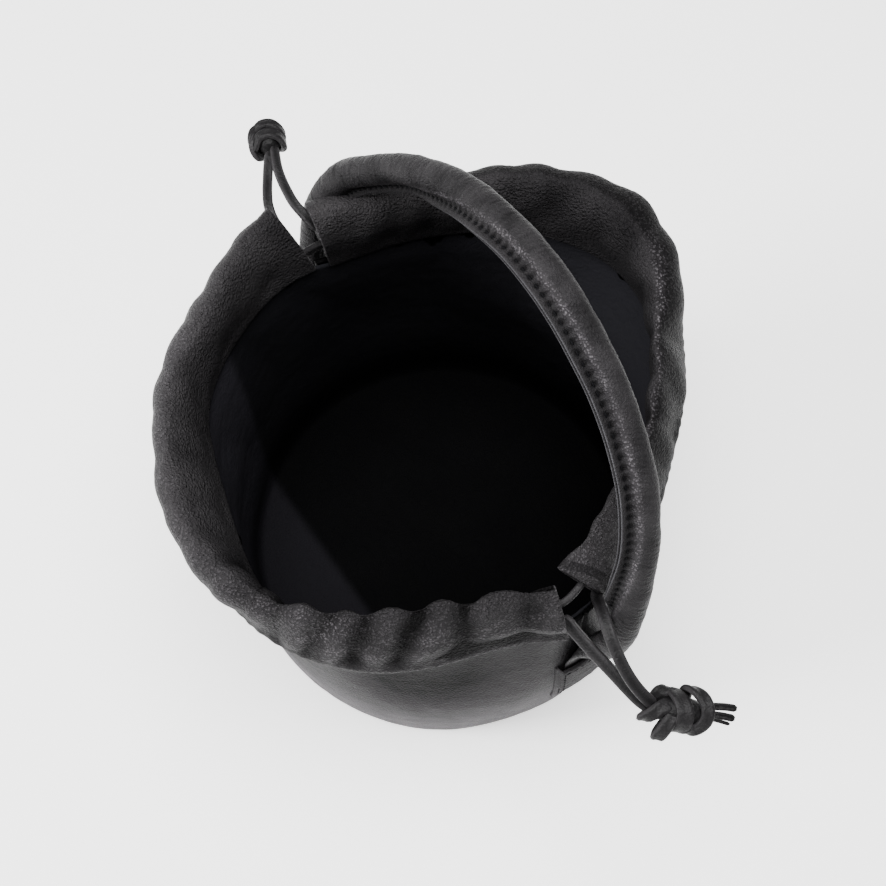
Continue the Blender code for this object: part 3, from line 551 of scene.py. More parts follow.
def casing_points(rows, seed, depth):
    """The whole skin of a casing as one closed grid: the outside, a rounded rim at the right end, the
    inside of the channel and a rounded rim at the left end. The outside is the outline carried from
    slit to slit, swollen by PUFF, shifted at the right end and moved along its normal: in by the
    folds, chance creases and ridge pleats, and in or out by soft ripples. The gathers are calmer
    where the leather lies smooth. Gives the grid and its marks: the first is 1 where the leather is
    rubbed and where light is painted and -1 where shade is painted; shine marks painted highlights."""
    share = np.linspace(0, 1, CASING_STEPS)
    rounds = np.r_[share, np.full(len(CASING_CLOSING), CLOSING_SHARE)]
    rise = np.r_[smooth_curve(CASING_OUTLINE["round"], CASING_OUTLINE["rise"], share),
                 [r for r, _ in CASING_CLOSING]]
    reach = np.r_[smooth_curve(CASING_OUTLINE["round"], CASING_OUTLINE["reach"], share),
                  [o for _, o in CASING_CLOSING]]
    along = np.linspace(0, 1, CASING_RINGS)
    low, ridge, half, out, drawn, pull, turns = channel(rows, along)
    calm = 1 - 0.5 * between(turns, 182, 8, 258, 14)
    calm = calm - 0.45 * smooth_step((turns - 364) / 8)
    drawn, pull = drawn * calm, pull * calm[:, None]
    up = ridge - low
    climb = np.clip(rise, 0, 1)
    wide = half[:, None] * (1 - GATHER_PINCH * drawn[:, None] * climb) * reach
    lip = smooth_curve(PUFF["angle"], PUFF["lip"], turns)[:, None]
    wide = wide * (1 - (1 - lip) * (1 - smooth_step((rise - 0.02) / 0.40)) * (reach > 0))
    skin = (low[:, None] + up[:, None] * rise[None, :, None] + out[:, None] * wide[..., None]
            + pull[:, None] * (climb**3)[None, :, None])
    swell = smooth_curve(PUFF["angle"], PUFF["out"], turns)[:, None]
    shape = np.r_[smooth_curve(PUFF_SHAPE["round"], PUFF_SHAPE["share"], share),
                  np.zeros(len(CASING_CLOSING))]
    aside = unit(out + at_angle(turns, 1.0, 0.0))
    skin = skin + aside[:, None] * (swell * shape)[..., None]
    # The right ends: the front one hangs out and down, the back one's top is drawn back in an arc.
    if turns[-1] < 360:
        droop = smooth_step((along - 0.90) / 0.10)[:, None]
        skin = skin + (droop * (0.55 + 0.45 * climb))[..., None] * np.array(FRONT_DROOP)
    else:
        bow = (1 - smooth_step(along / 0.075))[:, None] * hump(rounds, 0.37, 0.15)
        skin = skin + bow[..., None] * np.array(BACK_BOW)
    across = np.roll(skin, -1, axis=1) - np.roll(skin, 1, axis=1)
    normal = unit(np.cross(np.gradient(skin, axis=0), across))
    core = low + up * 0.5
    normal *= np.sign((normal * (skin - core[:, None])).sum(axis=(1, 2)).mean())
    a = run_length((low + ridge) / 2)[:, None]
    b = run_length(skin[CASING_RINGS // 2])[None]
    outer = smooth_step((reach + 0.15) / 0.4) * smooth_step((rise + 0.03) / 0.2)
    inner = smooth_step((-reach - 0.05) / 0.4) * smooth_step((rise - 0.02) / 0.2)
    top = hump(rise, 1.0, 0.16)
    weight = np.maximum(outer, 0.75 * inner) * (1 - 0.55 * top) + 0.40 * top
    fold = folds(turns[:, None], rise[None], seed) * weight[None] * calm[:, None]
    fold = fold * (1 + 0.45 * smooth_step((turns - 280) / 10) * (turns < 360))[:, None]
    a_end, ridge_b = a[-1, 0], float(b[0, int(np.argmax(rise))])
    lip_b = float(b[0, 6])
    chance = chance_creases(seed + 1, 110, (0, a_end), (lip_b, ridge_b), 18, (0.003, 0.011),
                            (0.0004, 0.0009), (0.00003, 0.00014))
    chance += chance_creases(seed + 2, 60, (0, a_end), (ridge_b, ridge_b * 1.8), 18, (0.003, 0.011),
                             (0.0004, 0.0009), (0.00003, 0.00010))
    patchy = smooth_step(0.5 + 0.7 * ripples(a, b * 0.3, seed + 3, 9, 0.03, 0.07))
    pleat = top[None] * patchy * (0.5 + 0.5 * np.sin(2 * math.pi * a / PLEAT_PITCH
                                                     + 1.4 * ripples(a, b, seed + 4, 6, 0.006, 0.02)))
    pucker = hump(rise, 0.02, 0.10) * (reach > 0)
    ends = smooth_step(np.minimum(along, 1 - along) / 0.012)[:, None]
    move = (
        -depth * fold
        + 0.00040 * ripples(a, b * 0.6, seed + 5, 14, 0.014, 0.040) * weight[None]
        + 0.00003 * ripples(a, b, seed + 6, 12, 0.0025, 0.007) * weight[None]
        - creases(a, b, chance) * weight[None]
        - 0.00014 * pleat
        - 0.00035 * pucker[None] * (0.5 + 0.5 * np.sin(2 * math.pi * a / PUCKER_PITCH
                                                       + ripples(a, b, seed + 7, 6, 0.01, 0.03)))
    ) * (0.35 + 0.65 * ends)
    outside = skin + normal * move[..., None]
    # Inside of the channel: the plain outline, a wall's thickness in and clear of the folds.
    few = np.linspace(0, CASING_RINGS - 1, 120).round().astype(int)
    length = np.linalg.norm(up, axis=1)
    deep = CASING_WALL + FOLD_ROOM
    margin = (deep / length)[few, None]
    wall = np.clip(half[few, None] * (1 - GATHER_PINCH * drawn[few, None] * climb) - deep, 0.001, 1)
    inside = (low[few, None] + up[few, None] * (margin + climb * (1 - 2 * margin))[..., None]
              + out[few, None] * (wall * np.clip(reach, -1, 1))[..., None]
              + pull[few, None] * (climb**3)[None, :, None])
    last = unit((skin[-1] - skin[-2]).mean(0))
    first = unit((skin[0] - skin[1]).mean(0))

    def rim(start, end, away):
        turn = np.radians([30, 60, 90, 120, 150])[:, None, None]
        middle, reach_out = (start + end) / 2, (start - end) / 2
        return middle + reach_out * np.cos(turn) + away * 0.0007 * np.sin(turn)

    grid = np.concatenate([outside, rim(outside[-1], inside[-1], last), inside[::-1],
                           rim(inside[0], outside[0], first)])
    angle = turns[:, None]
    # Painted light and shade in the tone: lighter on the front casing's left part, on the back casing's right
    # end and on its upper back left, darker on the back casing's outer face.
    tone = (0.9 * between(angle, 186, 10, 262, 12) - 1.25 * between(angle, 386, 12, 500, 16) * outer
            + 1.6 * (angle > 360) * (1 - smooth_step((angle - 378) / 14))
            + 0.9 * smooth_step((angle - 482) / 14) * (rise > 0.5) * (1 - 0.6 * outer))
    # The channel's inside is darkened as painted shade, and the cut edges at both ends are rubbed paler and
    # given a painted highlight.
    edge, dark = np.full((5, len(rise)), 0.9), np.full((len(few), len(rise)), -1.0)
    rubbed_and_painted_light = np.concatenate([np.clip(move / 0.0020 + tone, -1, 1), edge, dark, edge])
    puffs = 1 - np.clip(gather(angle), 0, 1)
    soft = smooth_step(0.5 + 0.6 * ripples(a, b, seed + 8, 10, 0.008, 0.03))
    outer_left = between(angle, 196, 24, 292, 18)
    front_right = between(angle, 286, 10, 352, 8) * (angle < 360)
    crest = between(angle, 386, 16, 444, 16)
    # Painted highlights: stripes on the front casing's outer left and front right, a thin line along the
    # front's lower lip, the back casing's right end, the back's ridge crest, a faint stripe along every
    # ridge, and the cut edges.
    shine = (
        outer_left * hump(rounds, 0.36, 0.15) * (0.45 + 0.55 * puffs) * (0.55 + 0.45 * soft)
        + front_right * hump(rounds, 0.26, 0.14) * (0.15 + 0.85 * puffs) * (0.3 + 0.7 * soft)
        + smooth_step((angle - 270) / 25) * (angle < 357) * hump(rounds, 0.055, 0.018)
        + 0.42 * (angle > 360) * (1 - smooth_step((angle - 374) / 14)) * (0.4 + 0.6 * soft)
        + 0.16 * outer_left * (rounds > 0.5) * (rounds < 0.9) * puffs
        + crest * hump(rounds, 0.565, 0.026) * (0.5 + 0.5 * soft)
        + 0.18 * hump(rounds, 0.50, 0.10)
    )
    shine = np.concatenate([np.clip(shine, 0, 1), 0.55 * (edge > 0), 0 * dark, 0.55 * (edge > 0)])
    return grid, rubbed_and_painted_light, shine


class POUCH_OT_casings(bpy.types.Operator):
    """Adds the two gathered casings round the mouth"""

    bl_idname = "pouch.casings"
    bl_label = "Casings"

    def execute(self, context):
        sizes = context.scene.pouch_sizes
        for name, rows, seed in (("casing_front", FRONT_CASING, 11), ("casing_back", BACK_CASING, 37)):
            grid, rubbed_and_painted_light, shine = casing_points(rows, seed, sizes.fold_depth)
            # The fold mark carries rubbing and painted light and shade; shine marks the painted highlights.
            piece = add_surface(name + "_leather", grid, wrap_rows=True, wrap_cols=True,
                                marks={"fold": rubbed_and_painted_light, "shine": shine})
            settle(piece, outer_leather(context), name, name)
        return {"FINISHED"}


# ---------------------------------------------------------------- body


def hanging_folds(angles, height, seed):
    """Folds that hang from the gathers: a valley below each one, widest and shallowest 70 mm down,
    with soft ripples over the whole wall and small puckers under the seam of the casings."""
    drop = np.clip((BODY_HEIGHT - height) / 0.070, 0, 1)
    rng = np.random.default_rng(seed)
    total = np.zeros(np.broadcast(angles, height).shape)
    for middle, width, depth in GATHERS:
        slant, reach = rng.normal(0, 5.0), rng.uniform(0.45, 1.0)
        d = (away_from(angles, middle) + slant * drop) / (width * (0.75 + 1.6 * drop))
        total -= 0.0011 * depth * np.exp(-d * d) * (1 - smooth_step(drop / reach))
    a = np.radians(angles) * BODY_RADIUS
    total += 0.0009 * ripples(a, height * 0.8, seed + 1, 9, 0.045, 0.11)
    total += 0.00005 * ripples(a, height, seed + 2, 14, 0.008, 0.025)
    total -= 0.0013 * np.exp(-(BODY_HEIGHT - height) / 0.005)
    pucker = np.exp(-((BODY_HEIGHT - height) / 0.006))
    total -= 0.0006 * pucker * (0.5 + 0.5 * np.sin(2 * math.pi * a / PUCKER_PITCH
                                                   + ripples(a, height, seed + 3, 6, 0.01, 0.03)))
    low = smooth_step(height / 0.018)
    return total * low


class POUCH_OT_body(bpy.types.Operator):
    """Adds the two outer panels and the base"""

    bl_idname = "pouch.body"
    bl_label = "Body and base"

    def execute(self, context):
        seam = math.degrees(1.5 * GAP / BODY_RADIUS)
        for name, start, seed in (("front_panel", 180.0, 5), ("back_panel", 0.0, 8)):
            angles = np.linspace(start + seam, start + 180 - seam, 380)[None]
            share = np.r_[0.004, 0.008, 0.014, np.linspace(0.021, 1.0, 106)][:, None]
            height = BODY_HEIGHT * share
            move = hanging_folds(angles, height, seed)
            edge = np.minimum(angles - start, start + 180 - angles) * math.pi / 180 * BODY_RADIUS
            tuck = -0.0008 * hump(edge, 0, 0.0011) * smooth_step(height / 0.01)
            move = move * (0.25 + 0.75 * smooth_step(edge / 0.012)) + tuck
            points = at_angle(angles, body_radius(angles, height) + np.minimum(move, 0.0018), height)
            # The fold mark darkens the valleys and the tuck under the casings as painted shade, and mixes the
            # rubbed colour into the raised folds.
            piece = add_surface(name + "_leather", points, marks={"fold": np.clip(move / 0.0015, -1, 1)},
                                flip=False)
            wall = piece.modifiers.new("wall", "SOLIDIFY")
            wall.thickness, wall.offset, wall.use_even_offset = PANEL_WALL, -1.0, True
            settle(piece, body_leather(context), name, name)
        settle(self.base(), body_leather(context), "base", "base")
        return {"FINISHED"}

    def base(self):
        """A disc turned from its profile: flat underside, a groove 7 mm inside a rounded rim."""
        edge = BODY_RADIUS * PROFILE["radius"][0] - PANEL_WALL / 2 - GAP
        rows = [(0.0004, 0), (0.02, 0), (0.05, 0), (edge - 0.0082, 0), (edge - 0.0076, 0.00045),
                (edge - 0.0070, 0.00045), (edge - 0.0064, 0), (edge - 0.0008, 0), (edge - 0.0002, 0.0003),
                (edge, 0.0010), (edge, BASE_THICKNESS - 0.0008), (edge - 0.0006, BASE_THICKNESS),
                (0.04, BASE_THICKNESS), (0.0004, BASE_THICKNESS)]
        angles = np.linspace(0, 360, 240, endpoint=False)[None]
        r, z = np.array(rows).T
        return add_surface("base_leather", at_angle(angles, r[:, None], z[:, None]), wrap_cols=True,
                           caps=True, marks={"fold": 0.0})


class POUCH_OT_lining(bpy.types.Operator):
    """Adds the thin dark lining, made a little paler by painted light on the back's wall and in the front's
    wedge
    """

    bl_idname = "pouch.lining"
    bl_label = "Lining"

    def execute(self, context):
        angles = np.linspace(0, 360, 300, endpoint=False)[None]
        floor = BASE_THICKNESS + GAP

        def inside(height):
            rise = body_radius(angles, height + 0.001) - body_radius(angles, height - 0.001)
            slope = np.sqrt(1 + (rise / 0.002) ** 2)
            return body_radius(angles, height) - (PANEL_WALL + LINING_CLEARANCE) * slope

        heights = np.linspace(0.992, 0.05, 60)[:, None] * BODY_HEIGHT
        a = np.radians(angles) * BODY_RADIUS
        sag = 0.0007 * np.abs(ripples(a, heights * 0.4, 21, 8, 0.035, 0.09))
        sag = sag + 0.0008 + 0.00006 * (1 + ripples(a, heights, 22, 10, 0.008, 0.02))
        sag = sag * smooth_step((BODY_HEIGHT - heights) / 0.02) * smooth_step(heights / 0.03)
        wall = at_angle(angles, inside(heights) - sag, heights)
        corner = inside(heights[-1:])
        shrink = np.r_[0.985, 0.965, 0.94, np.linspace(0.90, 0.02, 45)][:, None]
        drop = np.r_[0.40, 0.18, 0.05, np.zeros(45)][:, None]
        ground = floor + drop * (heights[-1] - floor) + 0.0002 * (1 + ripples(
            shrink * BODY_RADIUS * np.cos(np.radians(angles)),
            shrink * BODY_RADIUS * np.sin(np.radians(angles)), 23, 9, 0.02, 0.05)) * (shrink < 0.95)
        ground = np.maximum(ground, floor)
        points = np.concatenate([wall, at_angle(angles, corner * shrink, ground)])
        # Marks: the wall above the floor (the floor below it gets painted shade), and the areas of painted
        # light at the back and the front left.
        above = smooth_step((points[..., 2] - 0.012) / 0.05)
        behind = np.exp(-((away_from(angles, 95.0) / 75.0) ** 4))
        band = 0.07 * smooth_step((points[..., 2] - 0.03) / 0.08) * behind
        front = smooth_step((-points[..., 1] - 0.049) / 0.005) * smooth_step((0.03 - points[..., 0]) / 0.02)
        band = band + front * (0.11 + 0.20 * above)
        piece = add_surface("lining_leather", points, wrap_cols=True, caps="last", flip=True,
                            marks={"fold": 0.0, "rise": above, "band": band})
        wall = piece.modifiers.new("wall", "SOLIDIFY")
        wall.thickness, wall.offset = LINING_WALL, -1.0
        settle(piece, lining_leather(context), "lining", "lining")
        return {"FINISHED"}


# ---------------------------------------------------------------- handle and side patches


def side_x(side, height):
    """The x of the body's surface at a side seam."""
    return side * float(body_radius(0.0 if side > 0 else 180.0, height))


def handle_route():
    """The handle's centreline: the arch, with a foot down to each tongue."""
    span = BODY_RADIUS + HANDLE_CLEARANCE - HANDLE_DIAMETER / 4
    arch = [(s * span, l * HANDLE_LEAN, BODY_HEIGHT + r * HANDLE_RISE) for s, l, r in HANDLE_PATH]

    def foot(side):
        rest = GAP + TONGUE_THICKNESS / 2
        heights = (PATCH_TOP - TONGUE_LENGTH, PATCH_TOP - 0.012, PATCH_TOP + 0.002, PATCH_TOP + 0.014)
        return [(side_x(side, h) + side * (rest + r), 0.0002 * k, h)
                for k, (h, r) in enumerate(zip(heights, (0, 0, 0, 0.0016)))]

    return np.array(foot(-1) + arch + foot(1)[::-1])


def handle_frame(count):
    """The handle's line and, at each point, the direction of its flange and the one across it, how
    flat it is and how far the flange stands out. The flange points at the middle of the arch, turned
    about the handle by a table, and fades out below the rim."""
    route = handle_route()
    step = run_length(route)
    along = np.linspace(0, step[-1], count)
    line = smooth_curve(step, route, along)
    forward = unit(np.gradient(line, axis=0))
    chord = np.array([0.0, -math.sin(math.radians(20)), -math.cos(math.radians(20))])
    middle = np.array([0.0, 0.35 * HANDLE_LEAN, BODY_HEIGHT + 0.25 * HANDLE_RISE])
    inward = middle - line
    blend = smooth_step((line[:, 2] - middle[2] + 0.012) / 0.024)[:, None]
    level = np.stack([-line[:, 0], 0 * line[:, 0], 0 * line[:, 0]], axis=1)
    inward = unit(inward) * blend + unit(level) * (1 - blend)
    inward = unit(inward - (inward * forward).sum(1)[:, None] * forward)
    aside = np.cross(forward, inward)
    aside *= np.sign(aside @ np.cross([1.0, 0, 0], chord))[:, None]
    turn = np.radians(smooth_curve(FLANGE_TURN["along"], FLANGE_TURN["degrees"],
                                   along / along[-1]))[:, None]
    flange = inward * np.cos(turn) + aside * np.sin(turn)
    across = aside * np.cos(turn) - inward * np.sin(turn)
    flat = 1 - smooth_step((line[:, 2] - PATCH_TOP - 0.012) / 0.026)
    fade = smooth_step((line[:, 2] - BODY_HEIGHT - 0.006) / 0.020)
    return line, along, forward, flange, across, flat, fade


def handle_stitch_marks(along, pitch):
    """1 at each stitch of the flange and 0 halfway between two: a raised cosine of the pitch."""
    return 0.5 + 0.5 * np.cos(2 * math.pi * along / pitch)


def handle_shine(section, radius, along, around):
    """Painted highlight stripes along both shoulders of the handle's tube, broken up along it."""
    turn = np.abs(np.degrees(np.arctan2(section[:, 1], section[:, 0])))[None]
    beside = (np.hypot(section[:, 0], section[:, 1]) < 1.05 * radius)[None]
    broken = 0.55 + 0.45 * smooth_step(0.5 + 0.5 * ripples(along, around, 63, 10, 0.006, 0.03))
    return hump(turn, 38, 12) * beside * broken


class POUCH_OT_handle(bpy.types.Operator):
    """Adds the rolled handle with its stitched flange"""

    bl_idname = "pouch.handle"
    bl_label = "Handle"

    def execute(self, context):
        sizes = context.scene.pouch_sizes
        line, along, forward, flange, across, flat, fade = handle_frame(1500)
        radius, half = HANDLE_DIAMETER / 2, FLANGE_THICKNESS / 2
        tip = radius + HANDLE_FLANGE
        # Section: the tube's far side, its foot, the flange's two leathers and the groove at its rim.
        arc = np.linspace(0.62, 2 * math.pi - 0.62, 42)
        tube = np.stack([radius * np.cos(arc), radius * np.sin(arc)], axis=1)
        foot = [(0.91 * radius, 0.42 * radius), (1.02 * radius, 0.27 * radius), (1.14 * radius, 1.02 * half),
                (1.26 * radius, half), (tip - 0.0012, half), (tip - 0.0004, 0.95 * half),
                (tip - 0.00005, 0.80 * half), (tip, 0.62 * half), (tip - 0.00005, 0.44 * half),
                (tip - 0.0005, 0.28 * half), (tip - 0.0014, 0.10 * half), (tip - 0.0016, 0.0)]
        one = np.array(foot)[::-1]
        other = (np.array(foot) * [1, -1])[:-1]
        section = np.concatenate([one, tube, other])
        n, b = section[:, 0][None], section[:, 1][None]
        beyond = np.clip(n - 0.85 * radius, 0, None)
        n = np.minimum(n, 0.85 * radius + beyond * (0.12 + 0.88 * fade[:, None]))
        around = run_length(section)[None]
        a = along[:, None]
        mark = handle_stitch_marks(along, sizes.stitch_pitch)[:, None]
        out = section[:, 0][None]
        foot_line = hump(out, 1.20 * radius, 0.14 * radius)
        ring = hump(out, 1.00 * radius, 0.20 * radius) * (np.abs(b) > 0.1 * half)
        roll = out < 0.80 * radius
        # The rim's two painted layers, with the groove between them left dark.
        layers = hump(np.abs(section[:, 1]) / half, 0.66, 0.15) * (section[:, 0] > tip - 0.0003)
        move = (
            -0.00042 * foot_line * (0.35 + 0.65 * mark) * fade[:, None]
            - 0.00026 * ring * mark * fade[:, None]
            + 0.00010 * ripples(a, around, 61, 12, 0.010, 0.045) * roll
            + 0.00005 * ripples(a * 3.0, around * 0.8, 62, 12, 0.004, 0.012) * roll
        )
        side = np.sign(b) * np.minimum(1, np.abs(b) / (0.3 * half))
        out_n = np.where(roll, section[:, 0] / radius, 0.0)
        out_b = np.where(roll, section[:, 1] / radius, side)
        n = n + move * out_n
        b = b + move * out_b
        thin = (1 - flat * (1 - TONGUE_THICKNESS / HANDLE_DIAMETER))[:, None, None]
        wide = (1 + flat * (TONGUE_WIDTH / HANDLE_DIAMETER - 1))[:, None, None]
        offset = flange[:, None] * n[..., None] + across[:, None] * b[..., None]
        stretch = np.concatenate([thin, wide, np.ones_like(thin)], axis=2)
        points = line[:, None] + offset * stretch
        # The fold mark darkens the stitch dents as painted shade; shine marks the painted highlights on the
        # tube's shoulders.
        piece = add_surface("handle_leather", points, wrap_cols=True, caps=True,
                            marks={"fold": np.clip(move / 0.0004, -1, 1),
                                   "shine": handle_shine(section, radius, a, around) * fade[:, None],
                                   "edge": layers[None] * fade[:, None],
                                   "along": a + 0 * n, "around": around + 0 * n})
        settle(piece, handle_leather(context), "handle", "handle")
        # Stitches on both sides of the flange, sunk into the leather at the foot of the tube.
        last = along[-1]
        places = np.arange(math.ceil(0.11 * last / sizes.stitch_pitch),
                           math.floor(0.89 * last / sizes.stitch_pitch)) * sizes.stitch_pitch
        pick = np.searchsorted(along, places)
        pick = pick[fade[pick] > 0.75]
        rows = []
        for sign in (1, -1):
            at = line[pick] + flange[pick] * 1.20 * radius + across[pick] * sign * (half - 0.00030)
            rows.append((at, forward[pick], across[pick] * sign))
        at, way, up = (np.concatenate(parts) for parts in zip(*rows))
        piece = stitches("handle_stitches", at, way, up, sizes.stitch_length, sizes.thread)
        settle(piece, thread(context), "handle")
        return {"FINISHED"}


def stitches(name, places, ways, ups, length, thickness):
    """Short threads: for each place a bar along its way, arched upwards, 11 rings of 8 points whose
    half width is a root of 1 - (share of the half length) to the sixth."""
    t = np.linspace(-1, 1, 11)
    turn = 2 * math.pi * np.arange(8) / 8
    ups = unit(ups - (ups * ways).sum(1)[:, None] * ways)
    sides = np.cross(ways, ups)
    body = np.sqrt(np.clip(1 - np.abs(t) ** 6, 0.004, 1)) * thickness / 2
    arch = -0.55 * thickness * t**2
    points = (
        places[:, None, None]
        + ways[:, None, None] * (t * length / 2)[None, :, None, None]
        + ups[:, None, None] * (arch[:, None] + body[:, None] * np.sin(turn))[None, ..., None]
        + sides[:, None, None] * (body[:, None] * np.cos(turn))[None, ..., None]
    )
    return add_surface(name, points, wrap_cols=True, caps=True, parts=len(places),
                       marks={"fold": np.zeros(points.shape[:3])})


class POUCH_OT_side_patches(bpy.types.Operator):
    """Adds the patches that cover the handle's tongues"""

    bl_idname = "pouch.side_patches"
    bl_label = "Side patches"

    def execute(self, context):
        sizes = context.scene.pouch_sizes
        wide = math.degrees(PATCH_WIDTH / 2 / BODY_RADIUS)
        tongue = math.degrees((TONGUE_WIDTH / 2 + 0.0012) / BODY_RADIUS)
        for name, side in (("side_patch_left", -1), ("side_patch_right", 1)):
            middle = 0.0 if side > 0 else 180.0
            edge = np.sin(np.linspace(-1, 1, 81) * math.pi / 2)
            turns = (0.35 * edge + 0.65 * np.linspace(-1, 1, 81))[None] * wide
            drop = (0.5 + 0.5 * np.sin(np.linspace(-1, 1, 121) * math.pi / 2))[:, None] * PATCH_HEIGHT

            def surface(turns, drop, lift):
                height = PATCH_TOP - drop
                over = 1 - smooth_step((np.abs(turns) - tongue) / (0.12 * wide))
                over = over * (1 - smooth_step((drop - TONGUE_LENGTH - 0.001) / 0.004))
                out = GAP + (TONGUE_THICKNESS + 2 * GAP) * over + lift
                return at_angle(middle + turns, body_radius(middle + turns, height) + out, height)

            a, b = np.radians(turns) * BODY_RADIUS, drop
            inset = np.minimum(np.minimum(PATCH_WIDTH / 2 - np.abs(a), b), PATCH_HEIGHT - b)
            row = hump(inset, STITCH_INSET, 0.0005)
            round_off = 0.0006 * np.exp(-inset / 0.0007)
            lift = (PATCH_WALL - round_off - 0.00022 * row
                    + 0.00010 * ripples(a, b, 71 + side, 14, 0.005, 0.02) * smooth_step(inset / 0.002))
            front, back = surface(turns, drop, lift), surface(turns, drop, np.zeros_like(lift))
            # The two faces meet along their four sides: the columns close through this order.
            sheet = np.concatenate([front, back[:, ::-1]], axis=1)
            # The fold mark darkens the stitch row's groove as painted shade.
            piece = add_surface(name + "_leather", sheet, wrap_cols=True, caps=True,
                                marks={"fold": np.concatenate([-row, 0 * row], axis=1)})
            settle(piece, body_leather(context), name, name)
            step = sizes.stitch_pitch * 0.85
            half_w, low = PATCH_WIDTH / 2 - STITCH_INSET, PATCH_HEIGHT - STITCH_INSET
            down = np.arange(STITCH_INSET + step / 2, low, step)
            over = np.arange(-half_w + step / 2, half_w, step)
            ta = np.r_[np.full(len(down), half_w), np.full(len(down), -half_w), over, over]
            tb = np.r_[down, down, np.full(len(over), STITCH_INSET), np.full(len(over), low)]
            level = np.r_[np.zeros(2 * len(down)), np.ones(2 * len(over))][:, None]
            deg = np.degrees(ta / BODY_RADIUS)
            at = surface(deg, tb, PATCH_WALL - 0.00020)
            ahead = unit(surface(deg, tb + 0.0005, PATCH_WALL) - surface(deg, tb - 0.0005, PATCH_WALL))
            aside = unit(surface(deg + 0.3, tb, PATCH_WALL) - surface(deg - 0.3, tb, PATCH_WALL))
            up = unit(np.cross(ahead, aside))
            up *= np.sign((up * at * np.array([1, 1, 0])).sum(1))[:, None]
            way = ahead * (1 - level) + aside * level
            thread_row = stitches(name + "_stitches", at, way, up, sizes.stitch_length * 0.9, sizes.thread)
            settle(thread_row, thread(context), name)
        return {"FINISHED"}


# ---------------------------------------------------------------- strings and knots


def string_line(side):
    """A string inside both casings, from its own slit across the other one and back."""
    first = 0.004 if side == "left" else 0.0
    last = 0.004 if side == "right" else 0.0
    shares = {"front": np.linspace(first, 1 - last, 60), "back": np.linspace(last, 1 - first, 60)}
    lines = {}
    for half, rows in (("front", FRONT_CASING), ("back", BACK_CASING)):
        rises = STRING_RISE[side][half]
        rises = rises if half == "front" else rises[::-1]
        low, ridge, *_ = channel(rows, shares[half])
        rise = smooth_curve([0, 0.5, 1], rises, shares[half])
        lines[half] = low + (ridge - low) * rise[:, None]
    order = ("front", "back") if side == "left" else ("back", "front")
    return np.concatenate([lines[half] for half in order])


def rounded(count, ends=4):
    """Sizes of the rings along a strap: full, and drawn in over the last few at both ends."""
    size = np.ones(count)
    for k, s in enumerate(np.linspace(0.55, 0.97, ends)):
        size[k] = size[-1 - k] = s
    return size


class POUCH_OT_strings(bpy.types.Operator):
    """Adds the drawstrings: the runs inside the casings and the four free ends"""

    bl_idname = "pouch.strings"
    bl_label = "Drawstrings"

    def execute(self, context):
        sizes = context.scene.pouch_sizes
        section = strap_section(sizes.strap_width, sizes.strap_thickness)
        for side in ("left", "right"):
            name = f"drawstring_{side}_run"
            line = resample(string_line(side), 420)
            points = sweep(line, section * [0.82, 0.9], (0, 0, 1.0))
            piece = add_surface(name + "_strap", points, wrap_cols=True, caps=True, marks={"fold": 0.0})
            settle(piece, strap_leather(context), name, name)
        for name, route in STRANDS.items():
            line = resample(np.array(route), STRAND_RINGS)
            start, end = (np.array(v, float) for v in STRAND_LOOKS[name])
            looks = start + (end - start) * np.linspace(0, 1, STRAND_RINGS)[:, None]
            forward = unit(np.gradient(line, axis=0))
            broad = np.cross(forward, looks)
            narrow = 0.80 if "left" in name else 0.96
            points = sweep(line, section * narrow, broad, rounded(STRAND_RINGS))
            place = np.abs(section[:, 0]) / sizes.strap_width
            # The grooves along the broad faces are darkened as painted shade; the narrow edges are mixed
            # paler.
            tone = 0.9 * smooth_step((place - 0.36) / 0.10) - hump(place, 0.15, 0.06)
            piece = add_surface(name + "_strap", points, wrap_cols=True, caps=True,
                                marks={"fold": tone[None]})
            settle(piece, strap_leather(context), name, name)
            side = "left" if "left" in name else "right"
        return {"FINISHED"}


